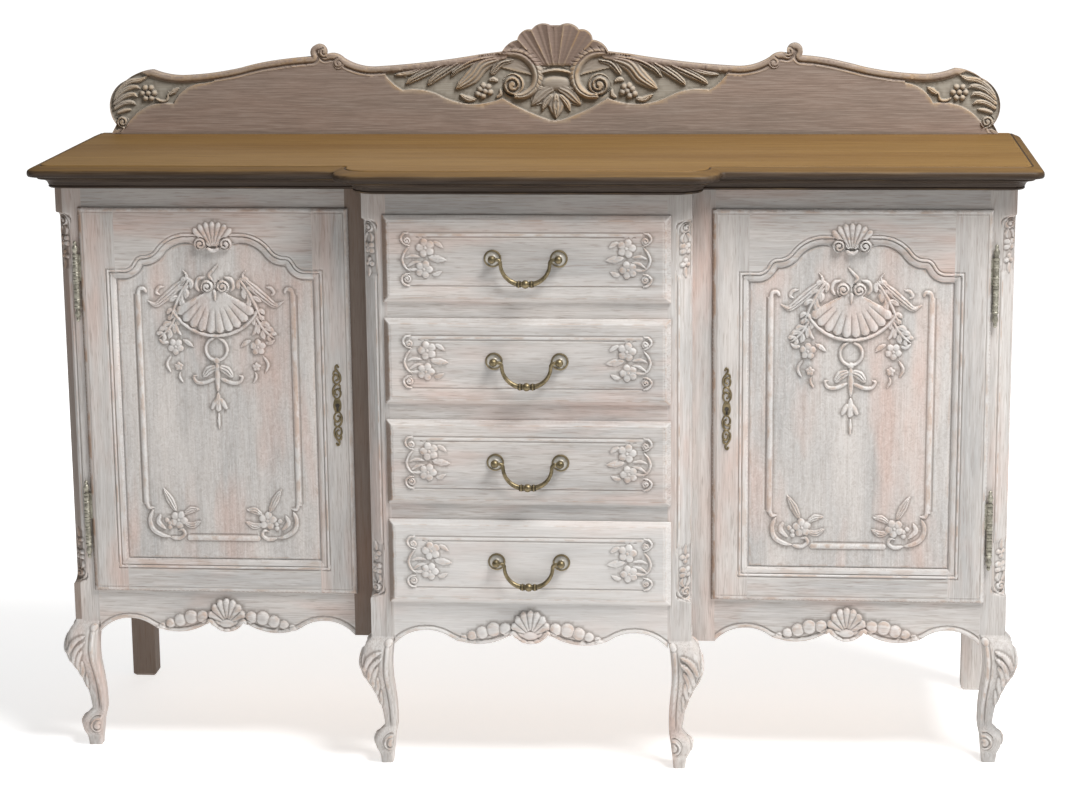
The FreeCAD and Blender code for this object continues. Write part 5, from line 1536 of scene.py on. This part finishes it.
def addRods(build, paths, girths, material, facets, wear):
    mesh = bpy.data.meshes.new("path")
    edges, count = [], 0
    for path in paths:
        edges += [(count + k, count + k + 1) for k in range(len(path) - 1)]
        count += len(path)
    mesh.from_pydata((np.vstack(paths) * mm).tolist(), edges, [])
    mark = mesh.attributes.new("girth", "FLOAT", "POINT")
    mark.data.foreach_set("value", (np.concatenate(girths) * mm).astype(np.float32))
    holder = bpy.data.objects.new("path", mesh)
    bpy.context.collection.objects.link(holder)
    nodes = holder.modifiers.new("nodes", "NODES")
    nodes.node_group = rod
    inputs = {"Sides": facets, "Finish": material}
    for item in rod.interface.items_tree:
        if item.name in inputs:
            nodes[item.identifier] = inputs[item.name]
    made = bpy.data.meshes.new_from_object(holder.evaluated_get(bpy.context.evaluated_depsgraph_get()))
    points = np.zeros(len(made.vertices) * 3)
    made.vertices.foreach_get("co", points)
    faces = [list(face.vertices) for face in made.polygons]
    build.add(points.reshape(-1, 3) / mm, faces, wear=wear)
    bpy.data.objects.remove(holder)
    bpy.data.meshes.remove(made)
    bpy.data.meshes.remove(mesh)


# handles
handle = {
    "half": 56.5,
    "standOff": 14.0,
    "ball": 7.0,
    # radius, distance in front of the drawer, wear
    "rosette": ((15, 0, 0), (15.2, 1.0, 0), (14.6, 2.4, 0.5), (13.4, 2.9, 0.6), (12.2, 2.5, -0.3), (11.2, 1.7, -0.8),
                (9.4, 1.3, -0.2), (7.4, 1.6, 0.2), (5.8, 2.6, 0), (4.6, 4.2, 0), (4.2, 6.2, -0.3)),
    "wax": (0, 0, 0, 0, 0.3, 0.9, 1, 1, 0.8, 0.3, 0),  # share of wax left on the rings of the rosette
    "facets": 36,
    "above": 2.0,  # of the pivot over the middle of the drawer
    "rodEnd": 48.0,
    "elbow": 6.0,
    "flat": 6.0,
    "bow": 36.0,
    "girth": ((0, 0.28, 0.6, 0.86, 1, 1.15), (4.6, 4.6, 3.8, 3.2, 3.0, 2.4)),  # share of the half width, radius
    "knob": 7.28,
    "collar": ((3.0, -1.44), (5.6, -1.44), (6.4, -0.81), (6.4, 0.81), (5.6, 1.44), (3.0, 1.44)),
    "collars": ((8.2, 0.88, -0.8), (11.0, 1.0, 0.9), (13.6, 0.85, -0.8)),  # place, size, wear
}


def ballProfile(radius, center, start=0.0, count=12):
    angles = np.linspace(start, math.pi, count)
    return [(radius * math.sin(a), center - radius * math.cos(a)) for a in angles]


def makeHandle(k):
    low, high = span("drawer_front_%d" % k)
    face, level = low[1], (low[2] + high[2]) / 2 + handle["above"]
    stand, ball, facets = handle["standOff"], handle["ball"], handle["facets"]
    sphere = ballProfile(ball, stand, 0.62)
    profile = [row[:2] for row in handle["rosette"]] + [(ball * 0.6, stand - ball * 0.82)] + sphere
    rub = [mark for *_, mark in handle["rosette"]] + [-0.4] + [0.1] * len(sphere)
    wax = np.pad(handle["wax"], (0, len(profile) - len(handle["wax"])))
    build = Build()
    for way in (-1, 1):
        addTurned(build, profile, (way * handle["half"], face, level), (0, -1, 0), facets,
                  np.repeat(rub, facets), np.repeat(wax, facets))
    build.piece("handlePosts%d" % k, brass, "drawer_%d" % k, "brass", ["handle_posts_%d" % k])
    pivot = face - stand
    end, elbow, flat, bow = (handle[key] for key in ("rodEnd", "elbow", "flat", "bow"))
    bend = math.sqrt(0.5)
    half = runPath([(end + 7, 0), (end, 0), (end - elbow * bend, -elbow + elbow * bend, end - elbow, -elbow),
                    (flat + bow * bend, -elbow - bow * bend, flat, -elbow - bow), (0, -elbow - bow)], 1.6)
    path = np.vstack([half, half[-2::-1] * (-1, 1)])
    girth = np.interp(np.abs(path[:, 0]) / end, *handle["girth"])
    bail = Build()
    addRods(bail, [atDepth(path + (0, level), pivot)], [girth], brass, 14, 0.1)
    foot = level - elbow - bow
    addTurned(bail, ballProfile(handle["knob"], 0.0), (0, pivot, foot), (1, 0, 0), 28, 0.3)
    for way in (-1, 1):
        for place, size, rub in handle["collars"]:
            addTurned(bail, [(radius * size, along) for radius, along in handle["collar"]],
                      (way * place, pivot, foot + 0.2), (1, 0, 0), 24, rub)
    bail.piece("bail%d" % k, brass, "handle_%d" % k, "brass", ["bail_%d" % k])


for k in range(1, 5):
    makeHandle(k)
print("stage: handles")


# hinges and escutcheons
hinge = {
    "place": (795.0, -177.5),
    "levels": (430.0, 860.0),
    "facets": 24,
    "leafSpan": (0.4, 48.0),  # from the joint of the two knuckles
    "doorLeaf": (-20.0, 0.0, 2.8, 4.7),  # sideways from the pin and back
    "postLeaf": (-1.0, 1.0, 0.0, 22.0),
    # radius, distance from the joint of the two knuckles, wear
    "knuckle": ((5.4, 0.3, 0), (5.6, 1.4, 0.5), (5.6, 4.0, 0.3), (4.6, 4.8, -0.7), (5.1, 6.0, 0), (5.1, 12.0, 0),
                (4.5, 12.8, -0.6), (5.5, 14.0, 0.6), (5.5, 16.2, 0.6), (4.5, 17.4, -0.6), (5.1, 18.4, 0),
                (5.1, 29.0, 0), (4.5, 30.0, -0.6), (5.5, 31.2, 0.6), (5.5, 33.4, 0.6), (4.5, 34.6, -0.6),
                (5.1, 35.6, 0), (5.1, 42.0, 0), (4.4, 43.0, -0.7), (5.6, 44.4, 0.5), (5.6, 47.4, 0.5),
                (4.0, 48.4, -0.4), (3.4, 50.4, -0.5), (4.0, 52.8, 0), (5.4, 56.4, 0.4), (5.3, 59.0, 0.4),
                (4.0, 62.2, 0), (2.5, 64.4, -0.4), (3.4, 66.8, 0.3), (3.2, 69.2, 0.3), (1.6, 71.4, 0), (0.1, 72.0, 0)),
}


def addHalfHinge(build, side, level, way, leaf):  # knuckles above or below the joint, with their leaf
    x, y = hinge["place"]
    facets, near, far = hinge["facets"], *hinge["leafSpan"]
    rub = np.repeat([mark for *_, mark in hinge["knuckle"]], facets)
    addTurned(build, [row[:2] for row in hinge["knuckle"]], (x * side, y, level), (0, 0, way), facets, rub)
    ends = sorted((side * (x + leaf[0]), side * (x + leaf[1])))
    foot, head = sorted((level + way * near, level + way * far))
    addBox(build, (ends[0], y + leaf[2], foot), (ends[1], y + leaf[3], head), 0.3)


def makeHinges():
    pins = Build()
    for hand, side in sides:
        barrels = Build()
        for level in hinge["levels"]:
            addHalfHinge(barrels, side, level, 1, hinge["doorLeaf"])
            addHalfHinge(pins, side, level, -1, hinge["postLeaf"])
        barrels.piece("hingeBarrels" + hand.title(), hingeMetal, "door_" + hand, "hinge_metal",
                      ["hinge_barrels_" + hand])
    pins.piece("hingePins", hingeMetal, "carcass", "hinge_metal", ["hinge_pins"])


keyPlate = {
    "level": 642.0,
    "keyInset": 26.0,
    "oval": (7.4, 14.0),
    "eye": 3.9,
    "slot": (2.0, 10.4),
    "facets": 48,
    "throat": (1.06, 1.04),
    "rod": 1.75,
    "tip": 2.1,
    "slim": (0.76, 1.0),
    # scrolls above the plate, from its middle; the lower ones are turned half round
    "scrolls": ([(2, 12), (7, 17), (8, 24), (3, 29), (-4, 27), (-5, 21), (-1, 19)],
                [(-4, 12), (-9, 19), (-9, 28), (-5, 35), (1, 38), (7, 35), (7, 30)],
                [(0, 37), (-7, 42), (-8, 50), (-3, 55), (3, 52), (3, 46), (-1, 45)],
                [(2, 38), (8, 44), (8, 53), (3, 60), (-2, 65), (-2, 70), (2, 72), (4, 69)],
                [(-8, 55), (-6, 60), (-2, 62)]),
}


def makeKeyPlate(hand, side):
    front, facets = doorLow[1], keyPlate["facets"]
    middle = (side * (doorLow[0] + keyPlate["keyInset"]), keyPlate["level"])
    build = Build()
    paths, girths = [], []
    for turn in (1, -1):
        for knots in keyPlate["scrolls"]:
            path = softPath(np.array(knots, float) * keyPlate["slim"] * turn, 7)
            paths.append(atDepth(path * (-side, 1) + middle, front - 0.5))
            share = np.linspace(0, 1, len(path))
            girths.append(keyPlate["rod"] * (0.55 + 0.6 * np.sin(math.pi * (0.12 + 0.8 * share))))
            addTurned(build, ballProfile(keyPlate["tip"], 0.0, count=8), paths[-1][-1], (0, -1, 0), 14, 0.5)
    addRods(build, paths, girths, brass, 10, 0.35)
    angles = np.linspace(0, math.tau, facets, endpoint=False)
    ways = np.column_stack([np.cos(angles), np.sin(angles)])
    eye, (slotHalf, slotDrop) = keyPlate["eye"], keyPlate["slot"]
    slot = np.minimum(slotDrop / np.maximum(-ways[:, 1], 1e-6), slotHalf / np.maximum(np.abs(ways[:, 0]), 1e-6))
    rim, hole = ways * keyPlate["oval"], ways * np.where(ways[:, 1] < 0, np.maximum(eye, slot), eye)[:, None]
    rings = [(rim, 0.0, 0), (rim, -0.9, 0.2), (rim * 0.93, -1.5, 0.6), (rim * 0.84, -1.6, 0.2),
             (rim * 0.76, -1.2, -0.5), (hole + (rim * 0.76 - hole) * 0.25, -1.3, 0), (hole, -1.1, -0.2),
             (hole, 0.0, -0.8)]
    points = np.vstack([atDepth(flat + middle, front + y) for flat, y, _ in rings])
    faces = []
    for k in range(len(rings)):
        for j in range(facets):
            after, row, above = (j + 1) % facets, k * facets, (k + 1) % len(rings) * facets
            faces.append([row + j, row + after, above + after, above + j])
    build.add(points, faces, wear=np.repeat([mark for *_, mark in rings], facets))
    build.piece("escutcheon" + hand.title(), brass, "door_" + hand, "brass", ["escutcheon_" + hand])
    throat = Build()
    floor = atDepth(hole * keyPlate["throat"] + middle, front - 0.15)
    addLoft(throat, [floor + (0, 1.2, 0), floor])
    throat.piece("keyhole" + hand.title(), lockIron, "door_" + hand, "lock_iron")


makeHinges()
for hand, side in sides:
    makeKeyPlate(hand, side)
print("stage: hinges and escutcheons")


# CAD pieces that keep their shape get their wood
dressing = {
    oakZ: ["stile_right", "side_panel_left", "side_panel_right", "post_back_right", "partition_right"],
    # the left-hand pieces take the shaded copy, which is painted shade; their right-hand twins stay pale
    oakShaded: ["stile_left", "post_back_left", "partition_left"],
    oakY: ["side_rails"],
    oakX: ["top_rails", "drawer_dividers"],
    plainZ: ["back_panel"],
    plainX: ["back_rails", "cupboard_floors", "shelves"],
    plainY: ["shelf_cleats", "drawer_runners"] + ["drawer_box_%d" % k for k in range(1, 5)],
    lockIron: ["lock_case_left", "lock_case_right", "lock_bolt_left", "lock_bolt_right"],
    crestOak: ["gallery_dowels"],
}
for material, nodes in dressing.items():
    for node in nodes:
        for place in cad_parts[node].material_slots:
            place.material = material
print("stage: dressing of the CAD pieces")
